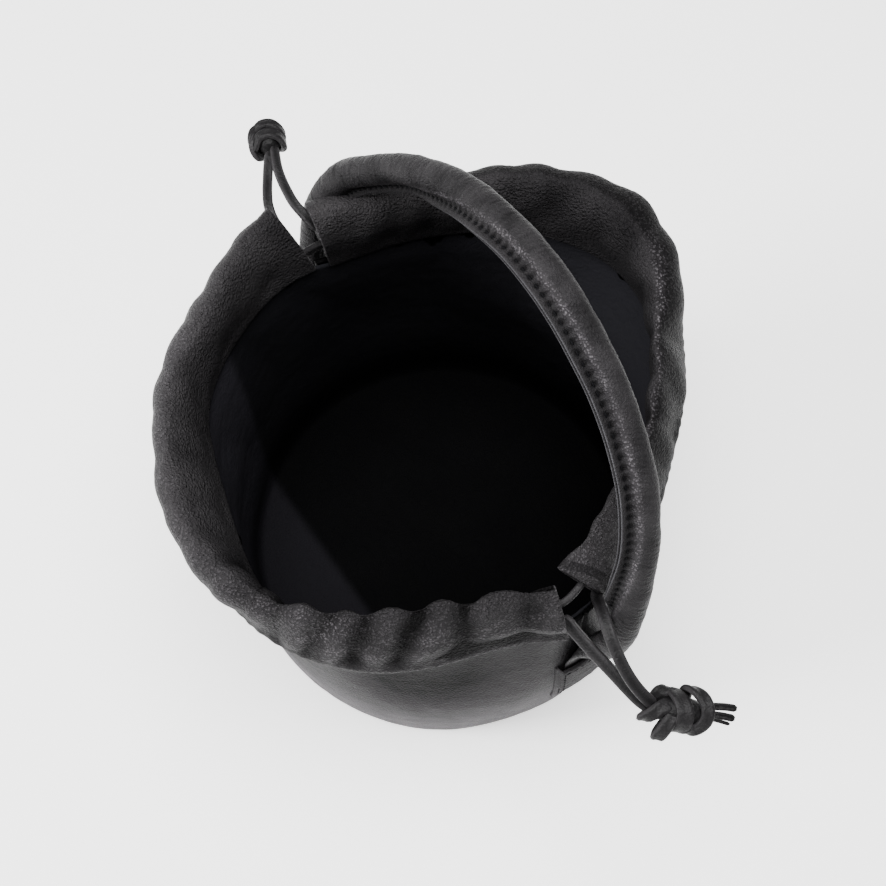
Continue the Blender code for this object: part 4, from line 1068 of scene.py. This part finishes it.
# The knots' wraps, seen from the camera: points in millimetres to its right, up and towards it from
# the knot's middle; width and thickness of the strap in millimetres; which way its broad side lies
# (along the knot's own axis where it is a wrap); whether the wrap closes on itself.
KNOT_WRAPS = {
    "knot_right": [
        ([(-3.0, 7.2, -3.0), (-1.2, 6.6, 1.8), (0.6, 3.8, 5.0), (1.4, 0.0, 6.0), (0.9, -3.6, 5.0),
          (-0.6, -6.6, 1.8), (-1.8, -6.8, -3.0), (-2.2, -3.0, -5.6), (-2.6, 2.4, -5.8)], 6.6, 2.6, True),
        ([(3.6, 7.8, -2.2), (6.4, 7.4, 2.4), (8.9, 4.6, 4.6), (9.9, 1.0, 5.4), (9.3, -2.8, 4.6),
          (6.8, -5.8, 3.0), (2.6, -7.4, 1.0), (0.8, -5.2, -4.6), (2.4, 1.4, -6.2)], 5.2, 3.0, True),
        ([(-3.6, 3.4, 3.2), (-7.2, 2.0, 4.4), (-11.0, -0.6, 4.2), (-13.6, -2.4, 1.6), (-12.4, -2.6, -2.0),
          (-7.6, -0.6, -3.4), (-3.0, 1.0, -3.4)], 5.6, 2.8, False),
        ([(-1.6, 0.6, 3.0), (-4.4, -3.2, 4.6), (-6.6, -6.8, 3.8), (-8.4, -9.6, 1.2), (-7.6, -8.8, -2.0),
          (-4.0, -4.4, -3.4), (-1.0, -0.6, -3.0)], 5.4, 3.0, False),
        ([(-9.4, 4.6, -0.4), (-7.6, 7.2, 0.4), (-4.4, 7.6, -0.4), (-1.0, 5.6, -2.4)], 5.0, 2.8, False),
    ],
    "knot_left": [
        ([(-4.6, -3.0, 3.4), (-3.2, 0.0, 5.0), (0.4, 1.6, 5.8), (4.2, 1.0, 4.6), (6.4, -1.2, 1.6),
          (5.8, -2.2, -3.0), (1.2, -1.0, -5.2), (-3.6, -2.0, -3.6), (-5.6, -3.8, 0.2)], 4.6, 2.8, True),
        ([(-3.4, 5.0, -1.0), (-5.8, 3.2, 1.6), (-6.8, -0.6, 2.4), (-6.2, -4.4, 2.0), (-4.4, -7.0, 0.4),
          (-2.4, -6.0, -3.0), (-2.6, -0.4, -5.0), (-2.4, 3.8, -3.8)], 3.8, 2.6, True),
        ([(-5.0, 3.4, 0.6), (-2.4, 5.6, 2.8), (1.4, 6.0, 3.0), (4.6, 4.2, 1.8), (5.8, 2.0, -1.6),
          (2.6, 3.2, -4.2), (-2.2, 4.6, -3.6)], 4.4, 3.2, True),
    ],
}
KNOT_PLACES = {  # middle, direction from the strands to the tails, radius and length of the core
    "knot_left": ((-0.1440, 0.0127, 0.1680), (-0.90, 0.42, -0.15), 0.0052, 0.0125),
    "knot_right": ((0.1412, 0.0068, 0.1500), (0.70, 0.70, -0.10), 0.0056, 0.0215),
}
TAILS = [  # seen from the camera as the wraps are: points, width and thickness
    ([(9.0, 1.6, 0.0), (13.0, 1.7, 0.6), (17.5, 1.5, 0.8), (21.4, 0.9, 0.6)], 2.9, 2.5),
    ([(9.0, -1.2, 0.0), (12.6, -1.4, 0.6), (16.8, -2.0, 0.8), (20.6, -2.9, 0.4)], 2.9, 2.4),
    ([(9.0, -3.0, -1.0), (12.4, -3.4, -0.8), (16.0, -4.3, -0.4), (19.0, -5.2, -0.6)], 1.5, 0.9),
]


class POUCH_OT_knots(bpy.types.Operator):
    """Adds the two knots with their wraps and tails"""

    bl_idname = "pouch.knots"
    bl_label = "Knots"

    def execute(self, context):
        right = np.array(CAMERA_RIGHT)
        towards = unit(np.array(CAMERA_PLACE) - np.array(CAMERA_TARGET))
        up = np.cross(towards, right)
        basis = np.stack([right, up, towards]) * 0.001
        for name, wraps in KNOT_WRAPS.items():
            middle, axis, radius, length = KNOT_PLACES[name]
            middle, axis = np.array(middle), unit(np.array(axis))
            turn = np.linspace(0.02, math.pi - 0.02, 24)
            core = middle - axis[None] * (np.cos(turn) * length / 2)[:, None]
            circle = 2 * math.pi * np.arange(28) / 28
            ring = np.stack([np.cos(circle), np.sin(circle)], axis=1) * radius
            shape = [sweep(core, ring, np.cross(axis, (0, 0, 1.0)), np.sin(turn) ** 0.7)]
            names = [(name + "_core", shape[0])]
            for k, (route, width, thickness, closed) in enumerate(wraps):
                points = np.array(route) @ basis + middle
                section = strap_section(width / 1000, thickness / 1000, 32)
                if closed:
                    loop = np.concatenate([points[-2:], points, points[:3]])
                    length_at = run_length(loop)
                    line = smooth_curve(length_at, loop,
                                        np.linspace(length_at[2], length_at[-3], 97))[:-1]
                    grid = sweep(line, section, axis, closed=True)
                else:
                    line = resample(points, 64)
                    grid = sweep(line, section, axis, rounded(64))
                names.append((f"{name}_wrap_{k + 1}", grid))
            if name == "knot_right":
                for k, (route, width, thickness) in enumerate(TAILS):
                    line = resample(np.array(route) @ basis + middle, 40)
                    section = strap_section(width / 1000, thickness / 1000, 24)
                    names.append((f"{name}_tail_{k + 1}", sweep(line, section, up, rounded(40))))
            for k, (label, grid) in enumerate(names):
                closed = "wrap" in label and wraps[int(label[-1]) - 1][3]
                # The core inside the wraps is darkened as painted shade; the tails are darkened too, and the
                # wraps are darker on their broad faces and paler at their edges.
                rim = np.abs(np.cos(2 * math.pi * (np.arange(grid.shape[1]) + 0.5) / grid.shape[1]))
                tone = np.full(rim.shape, -0.9)
                if "wrap" in label:
                    tone = 1.3 * smooth_step((rim - 0.80) / 0.15) - 0.55
                piece = add_surface(label, grid, wrap_rows=closed, wrap_cols=True, caps=not closed,
                                    marks={"fold": tone[None]})
                settle(piece, strap_leather(context), name, *([name] if k == 0 else []))
        return {"FINISHED"}


# ---------------------------------------------------------------- materials


def node_group(name, inputs, outputs):
    """A shader node group with its sockets, each (name, socket type, default)."""
    if name in bpy.data.node_groups:
        return bpy.data.node_groups[name], None, None
    group = bpy.data.node_groups.new(name, "ShaderNodeTree")
    for label, kind, default in inputs:
        socket = group.interface.new_socket(name=label, in_out="INPUT", socket_type=kind)
        socket.default_value = default
    for label, kind in outputs:
        group.interface.new_socket(name=label, in_out="OUTPUT", socket_type=kind)
    return group, group.nodes.new("NodeGroupInput"), group.nodes.new("NodeGroupOutput")


class Wires:
    """Shorthand for adding nodes to a tree and linking them. What feeds a socket is another node's
    output or a plain value."""

    def __init__(self, tree):
        self.tree = tree

    def feed(self, socket, value):
        """Links a socket to an output, or gives it a plain value."""
        if isinstance(value, bpy.types.NodeSocket):
            self.tree.links.new(value, socket)
        else:
            socket.default_value = value

    def put(self, kind, settings=None, **links):
        """A new node with its settings; i0 and i1 are its first and second input."""
        node = self.tree.nodes.new(kind)
        for key, value in (settings or {}).items():
            if hasattr(node, key) and key not in node.inputs:
                setattr(node, key, value)
            else:
                node.inputs[key].default_value = value
        for key, value in links.items():
            slot = int(key[1:]) if key[0] == "i" and key[1:].isdigit() else key.replace("_", " ")
            self.feed(node.inputs[slot], value)
        return node

    def math(self, way, first, second=None, clamp=False):
        """The result of one step of arithmetic."""
        node = self.put("ShaderNodeMath", {"operation": way, "use_clamp": clamp}, i0=first)
        if second is not None:
            self.feed(node.inputs[1], second)
        return node.outputs[0]

    def mix(self, share, first, second, blend="MIX"):
        """Two colours, mixed by a share."""
        node = self.put("ShaderNodeMix", {"data_type": "RGBA", "blend_type": blend}, i0=share, i6=first,
                        i7=second)
        return node.outputs[2]

    def shaded(self, colour, value):
        """A colour times one value."""
        grey = self.put("ShaderNodeCombineColor", i0=value, i1=value, i2=value)
        return self.mix(1.0, colour, grey.outputs[0], "MULTIPLY")

    def ramp(self, value, start, end, first=0.0, last=1.0):
        """A value carried smoothly from first at start to last at end."""
        node = self.put("ShaderNodeMapRange", {
            "interpolation_type": "SMOOTHSTEP", "From Min": start, "From Max": end, "To Min": first,
            "To Max": last}, Value=value)
        return node.outputs[0]

    def mark(self, name):
        """A value that the surface carries at its points."""
        return self.put("ShaderNodeAttribute", {"attribute_name": name}).outputs["Fac"]

    def place(self):
        """Object coordinates."""
        return self.put("ShaderNodeTexCoord").outputs["Object"]

    def group(self, tree, **values):
        """A node of a group with its inputs; gives its outputs."""
        node = self.put("ShaderNodeGroup")
        node.node_tree = tree
        for key, value in values.items():
            self.feed(node.inputs[key], value)
        return node.outputs


def grain_group():
    """Pebbled grain: two sizes of rounded cells and a fine tooth, on warped Object coordinates. Puts
    out a height and a mask of the pebbles' tops."""
    group, source, sink = node_group(
        "Pebbled grain",
        [("Vector", "NodeSocketVector", (0, 0, 0)), ("Pebble", "NodeSocketFloat", 0.0011),
         ("Unevenness", "NodeSocketFloat", 0.4)],
        [("Height", "NodeSocketFloat"), ("Tops", "NodeSocketFloat")])
    if source is None:
        return group
    w, vector, pebble = Wires(group), source.outputs["Vector"], source.outputs["Pebble"]
    scale = w.math("DIVIDE", 1.0, pebble)
    warp = w.put("ShaderNodeTexNoise", {"Detail": 2.0}, Vector=vector, Scale=w.math("MULTIPLY", scale, 0.35))
    shift = w.put("ShaderNodeVectorMath", {"operation": "SCALE"}, i0=warp.outputs["Color"],
                  Scale=w.math("MULTIPLY", pebble, 1.1))
    place = w.put("ShaderNodeVectorMath", {"operation": "ADD"}, i0=vector, i1=shift.outputs[0]).outputs[0]
    big = w.put("ShaderNodeTexVoronoi", {"feature": "SMOOTH_F1", "Smoothness": 0.35}, Vector=place,
                Scale=scale)
    small = w.put("ShaderNodeTexVoronoi", {"feature": "SMOOTH_F1", "Smoothness": 0.3}, Vector=place,
                  Scale=w.math("MULTIPLY", scale, 2.3))
    tooth = w.put("ShaderNodeTexNoise", {"Detail": 3.0}, Vector=vector, Scale=w.math("MULTIPLY", scale, 3.5))
    rough = w.put("ShaderNodeTexNoise", {"Detail": 2.0}, Vector=vector, Scale=w.math("MULTIPLY", scale, 0.12))
    tops = w.math("SUBTRACT", 1.0, w.math("MULTIPLY", big.outputs["Distance"], 1.35), clamp=True)
    fine = w.math("SUBTRACT", 1.0, w.math("MULTIPLY", small.outputs["Distance"], 1.3), clamp=True)
    height = w.math("ADD", w.math("MULTIPLY", tops, 0.62), w.math("MULTIPLY", fine, 0.28))
    height = w.math("ADD", height, w.math("MULTIPLY", tooth.outputs[0], 0.16))
    patch = w.math("MULTIPLY", w.math("SUBTRACT", rough.outputs[0], 0.5), 3.0)
    patch = w.math("ADD", 1.0, w.math("MULTIPLY", patch, source.outputs["Unevenness"]))
    w.feed(sink.inputs["Height"], w.math("MULTIPLY", height, patch))
    w.feed(sink.inputs["Tops"], tops)
    return group


def crease_group():
    """Fine creases of soft leather: ridged noise, stretched by an input scale. Puts out a height."""
    group, source, sink = node_group(
        "Fine creases",
        [("Vector", "NodeSocketVector", (0, 0, 0)), ("Stretch", "NodeSocketVector", (1, 1, 1)),
         ("Scale", "NodeSocketFloat", 220.0)],
        [("Height", "NodeSocketFloat")])
    if source is None:
        return group
    w = Wires(group)
    place = w.put("ShaderNodeVectorMath", {"operation": "MULTIPLY"}, i0=source.outputs["Vector"],
                  i1=source.outputs["Stretch"])
    noise = w.put("ShaderNodeTexNoise", {"Detail": 4.0, "Roughness": 0.6, "Distortion": 0.6},
                  Vector=place.outputs[0], Scale=source.outputs["Scale"])
    ridge = w.math("ABSOLUTE", w.math("SUBTRACT", noise.outputs[0], 0.5))
    w.feed(sink.inputs["Height"], w.math("MINIMUM", w.math("MULTIPLY", ridge, 9.0), 1.0))
    return group


def rubbing_and_painted_light_group():
    """Rubbing with painted light and shade: mixes the rubbed colour into the leather on raised folds
    and pebble tops, which is also painted light where the fold mark is raised for light, darkens the valleys
    as painted shade and paints highlights on the tops that shine. Puts out a colour and a roughness."""
    group, source, sink = node_group(
        "Rubbing and painted light",
        [("Leather", "NodeSocketColor", (0.02, 0.02, 0.02, 1)),
         ("Worn", "NodeSocketColor", (0.04, 0.04, 0.04, 1)),
         ("Fold", "NodeSocketFloat", 0.0), ("Tops", "NodeSocketFloat", 0.0),
         ("Shine", "NodeSocketFloat", 0.0), ("Burnished", "NodeSocketColor", (0.1, 0.1, 0.1, 1)),
         ("Vector", "NodeSocketVector", (0, 0, 0)), ("Roughness", "NodeSocketFloat", 0.5)],
        [("Color", "NodeSocketColor"), ("Roughness", "NodeSocketFloat")])
    if source is None:
        return group
    w, given = Wires(group), source.outputs
    cloud = w.put("ShaderNodeTexNoise", {"Scale": 38.0, "Detail": 4.0}, Vector=given["Vector"]).outputs[0]
    raised = w.math("MULTIPLY", w.math("MAXIMUM", given["Fold"], 0.0), 0.5)
    amount = w.math("ADD", raised, w.math("MULTIPLY", given["Tops"], 0.18))
    amount = w.math("ADD", amount, w.math("MULTIPLY", w.math("SUBTRACT", cloud, 0.45), 0.9), clamp=True)
    # Painted shade: the fold mark's valleys are darkened.
    valley = w.math("ADD", 1.0, w.math("MULTIPLY", w.math("MINIMUM", given["Fold"], 0.0), 0.80))
    base = w.shaded(w.mix(amount, given["Leather"], given["Worn"]), valley)
    # Painted highlight: the painted light colour goes onto the pebbles' tops where shine is marked.
    peaks = w.math("MULTIPLY", w.math("SUBTRACT", given["Tops"], 0.34), 2.6, clamp=True)
    gloss = w.math("MULTIPLY", w.math("ADD", w.math("MULTIPLY", peaks, 0.85), 0.15), given["Shine"],
                   clamp=True)
    w.feed(sink.inputs["Color"], w.mix(gloss, base, given["Burnished"]))
    rough = w.math("SUBTRACT", given["Roughness"], w.math("MULTIPLY", raised, 0.14))
    rough = w.math("ADD", rough, w.math("MULTIPLY", w.math("SUBTRACT", cloud, 0.5), 0.16))
    w.feed(sink.inputs["Roughness"], rough)
    return group


def new_material(name):
    """A material with its Principled shader, and shorthand for its nodes."""
    material = bpy.data.materials.new(name)
    material.use_nodes = True
    shader = next(n for n in material.node_tree.nodes if n.type == "BSDF_PRINCIPLED")
    return material, shader, Wires(material.node_tree)


def leather(context, name, roughness, specular, pebble, grain_depth, crease_depth, colours=None,
            stretch=None):
    """A leather: colour and roughness from the group of rubbing and painted light and shade, relief from the
    grain and the creases.
    pebble is a share of the grain's size. Where stretch is given, the creases run by the lengths
    along and around the handle. Gives the material, its shader, its nodes and its colour."""
    tint = context.scene.pouch_colours
    plain, rubbed_and_painted_light = colours or (tint.leather, tint.rubbed_and_painted_light)
    material, shader, w = new_material(name)
    place = flow = w.place()
    if stretch:
        flow = w.put("ShaderNodeCombineXYZ", X=w.mark("along"), Y=w.mark("around")).outputs[0]
    grain = w.group(grain_group(), Vector=place, Pebble=context.scene.pouch_sizes.grain * pebble)
    lines = w.group(crease_group(), Vector=flow, Stretch=stretch or (1, 1, 1))
    leather_with_painted_light = w.group(rubbing_and_painted_light_group(), Leather=(*plain, 1), Worn=(*rubbed_and_painted_light, 1), Burnished=(*tint.painted_light, 1),
                   Roughness=roughness, Fold=w.mark("fold"), Shine=w.mark("shine"), Tops=grain["Tops"],
                   Vector=place)
    first = w.put("ShaderNodeBump", {"Strength": 1.0, "Distance": grain_depth}, Height=grain["Height"])
    second = w.put("ShaderNodeBump", {"Strength": 1.0, "Distance": crease_depth}, Height=lines["Height"],
                   Normal=first.outputs[0])
    for key, value in (("Base Color", leather_with_painted_light["Color"]), ("Roughness", leather_with_painted_light["Roughness"]),
                       ("Specular IOR Level", specular), ("Normal", second.outputs[0])):
        w.feed(shader.inputs[key], value)
    return material, shader, w, leather_with_painted_light["Color"]


def outer_leather(context):
    """Soft pebbled black leather."""
    name = "pebbled black leather"
    return bpy.data.materials.get(name) or leather(context, name, 0.42, 0.02, 1.0, 0.00130, 0.00012)[0]


def strap_leather(context):
    """The drawstrings' folded leather: smooth, with faint creases."""
    name = "folded black strap"
    return bpy.data.materials.get(name) or leather(context, name, 0.44, 0.10, 0.7, 0.00016, 0.00010)[0]


def body_leather(context):
    """The same leather stretched smooth over the body, with a flatter grain: painted light makes it paler at
    the front's foot and painted shade darker just under the casings."""
    name = "smooth black leather"
    if name in bpy.data.materials:
        return bpy.data.materials[name]
    material, shader, w, base = leather(context, name, 0.50, 0.02, 1.0, 0.00070, 0.00008)
    place = w.place()
    x, y, height = w.put("ShaderNodeSeparateXYZ", Vector=place).outputs
    # Painted light: the front's foot is mixed towards the painted light colour, mottled by noise.
    front = w.math("SUBTRACT", w.math("MULTIPLY", x, 0.55), w.math("MULTIPLY", y, 0.83))
    foot = w.math("MULTIPLY", w.ramp(height, 0.105, 0.004), w.ramp(front, 0.010, 0.080, 0.10))
    cloud = w.put("ShaderNodeTexNoise", {"Scale": 60.0, "Detail": 5.0, "Roughness": 0.65}, Vector=place)
    blotch = w.math("ADD", -0.15, w.math("MULTIPLY", cloud.outputs[0], 2.1))
    pale = tuple(c * 1.05 for c in context.scene.pouch_colours.painted_light)
    base = w.mix(w.math("MULTIPLY", foot, blotch, clamp=True), base, (*pale, 1))
    # Painted shade: the top of the panels just under the casings' overhang is darkened.
    w.feed(shader.inputs["Base Color"], w.shaded(base, w.ramp(height, 0.1400, 0.1490, 1.0, 0.15)))
    return material


def handle_leather(context):
    """The same leather rolled tight: finer grain and creases across the handle; its rim is painted."""
    name = "rolled black leather"
    if name in bpy.data.materials:
        return bpy.data.materials[name]
    material, shader, w, base = leather(context, name, 0.40, 0.03, 0.8, 0.00060, 0.00002,
                                        stretch=(3.2, 0.7, 1))
    paint = (*context.scene.pouch_colours.edge, 1)
    w.feed(shader.inputs["Base Color"], w.mix(w.mark("edge"), base, paint))
    return material


def lining_leather(context):
    """The matt dark inside: painted shade makes it darkest on the floor, and painted light makes it paler
    where that is marked.
    """
    name = "matt lining"
    if name in bpy.data.materials:
        return bpy.data.materials[name]
    tint = context.scene.pouch_colours
    material, shader, w, base = leather(context, name, 0.80, 0.03, 1.0, 0.00008, 0.00012,
                                        (tint.lining, tint.lining))
    # Painted shade: the floor gets a tenth of the lining's colour. Painted light: the marked areas are mixed
    # towards the painted light colour.
    deep = tuple(c * 0.10 for c in tint.lining)
    pale = tuple(c * k for c, k in zip(tint.painted_light, (0.48, 0.48, 0.56)))
    base = w.mix(w.mark("rise"), (*deep, 1), base)
    w.feed(shader.inputs["Base Color"], w.mix(w.mark("band"), base, (*pale, 1)))
    return material


def thread(context):
    """Twisted black thread: a fine diagonal twist on Object coordinates."""
    name = "black thread"
    if name in bpy.data.materials:
        return bpy.data.materials[name]
    material, shader, w = new_material(name)
    wave = w.put("ShaderNodeTexWave", {"Scale": 900.0, "bands_direction": "DIAGONAL"},
                 Vector=w.place()).outputs["Fac"]
    dark = tuple(context.scene.pouch_colours.thread)
    bump = w.put("ShaderNodeBump", {"Strength": 0.6, "Distance": 0.0001}, Height=wave)
    for key, value in (("Base Color", w.mix(wave, (*dark, 1), (*(c * 2.2 for c in dark), 1))),
                       ("Roughness", 0.7), ("Specular IOR Level", 0.05), ("Normal", bump.outputs[0])):
        w.feed(shader.inputs[key], value)
    return material


# ---------------------------------------------------------------- stage


class POUCH_OT_stage(bpy.types.Operator):
    """Adds the white floor, the soft lights and the camera of the photograph"""

    bl_idname = "pouch.stage"
    bl_label = "Stage, lights and camera"

    def execute(self, context):
        mesh = bpy.data.meshes.new("floor")
        mesh.from_pydata([(-3, -3, 0), (3, -3, 0), (3, 3, 0), (-3, 3, 0)], [], [(0, 1, 2, 3)])
        floor = bpy.data.objects.new("floor", mesh)
        context.scene.collection.objects.link(floor)
        material, shader, w = new_material("white floor")
        cloud = w.put("ShaderNodeTexNoise", {"Scale": 3.0}, Vector=w.place()).outputs[0]
        for key, value in (
            ("Base Color", w.mix(cloud, (0.88, 0.88, 0.88, 1), (0.90, 0.90, 0.90, 1))),
            ("Roughness", 0.9), ("Specular IOR Level", 0.1),
            ("Emission Color", (1.0, 0.998, 0.995, 1)), ("Emission Strength", 0.80),
        ):
            w.feed(shader.inputs[key], value)
        mesh.materials.append(material)

        world = context.scene.world or bpy.data.worlds.new("studio")
        context.scene.world = world
        world.use_nodes = True
        sky = next(n for n in world.node_tree.nodes if n.type == "BACKGROUND")
        sky.inputs["Color"].default_value = (1.0, 1.0, 1.0, 1)
        sky.inputs["Strength"].default_value = 0.30

        for name, place, aim, size, power in (
            ("overhead", (0.10, 0.00, 1.90), (0, 0, 0.10), 1.20, 92.0),
            ("key", (-0.62, -1.25, 1.00), (0, 0, 0.14), 0.50, 44.0),
        ):
            light = bpy.data.lights.new(name, "AREA")
            light.size, light.energy = size, power
            lamp = bpy.data.objects.new(name, light)
            lamp.location = place
            lamp.rotation_euler = (Vector(aim) - Vector(place)).to_track_quat("-Z", "Y").to_euler()
            context.scene.collection.objects.link(lamp)

        lens = bpy.data.cameras.new("camera")
        lens.lens, lens.sensor_width, lens.clip_start = CAMERA_LENS, SENSOR_WIDTH, 0.01
        camera = bpy.data.objects.new("camera", lens)
        back = (Vector(CAMERA_PLACE) - Vector(CAMERA_TARGET)).normalized()
        right = Vector((0, 0, 1)).cross(back).normalized()
        turn = Matrix((right, back.cross(right), back)).transposed().to_4x4()
        camera.matrix_world = Matrix.Translation(CAMERA_PLACE) @ turn
        context.scene.collection.objects.link(camera)
        context.scene.camera = camera
        return {"FINISHED"}


# ---------------------------------------------------------------- the add-on


OPERATORS = (POUCH_OT_casings, POUCH_OT_body, POUCH_OT_lining, POUCH_OT_handle, POUCH_OT_side_patches,
             POUCH_OT_knots, POUCH_OT_strings, POUCH_OT_stage)


class POUCH_PT_panel(bpy.types.Panel):
    """Lists the pouch's sizes, colours and pieces"""

    bl_idname = "POUCH_PT_panel"
    bl_label = "Leather pouch"
    bl_space_type = "VIEW_3D"
    bl_region_type = "UI"
    bl_category = "Pouch"

    def draw(self, context):
        for group in (context.scene.pouch_sizes, context.scene.pouch_colours):
            box = self.layout.box()
            for key in group.__annotations__:
                box.prop(group, key)
        for operator in OPERATORS:
            self.layout.operator(operator.bl_idname)


CLASSES = (PouchSizes, PouchColours) + OPERATORS + (POUCH_PT_panel,)


def register():
    """Adds the classes and their settings to Blender."""
    for each in CLASSES:
        bpy.utils.register_class(each)
    bpy.types.Scene.pouch_sizes = bpy.props.PointerProperty(type=PouchSizes)
    bpy.types.Scene.pouch_colours = bpy.props.PointerProperty(type=PouchColours)


def unregister():
    """Takes them out again."""
    del bpy.types.Scene.pouch_colours
    del bpy.types.Scene.pouch_sizes
    for each in reversed(CLASSES):
        bpy.utils.unregister_class(each)


def main():
    """Makes every piece in order."""
    register()
    bpy.ops.pouch.casings()
    bpy.ops.pouch.body()
    bpy.ops.pouch.lining()
    bpy.ops.pouch.handle()
    bpy.ops.pouch.side_patches()
    bpy.ops.pouch.knots()
    bpy.ops.pouch.strings()
    bpy.ops.pouch.stage()


if __name__ == "__main__":
    main()
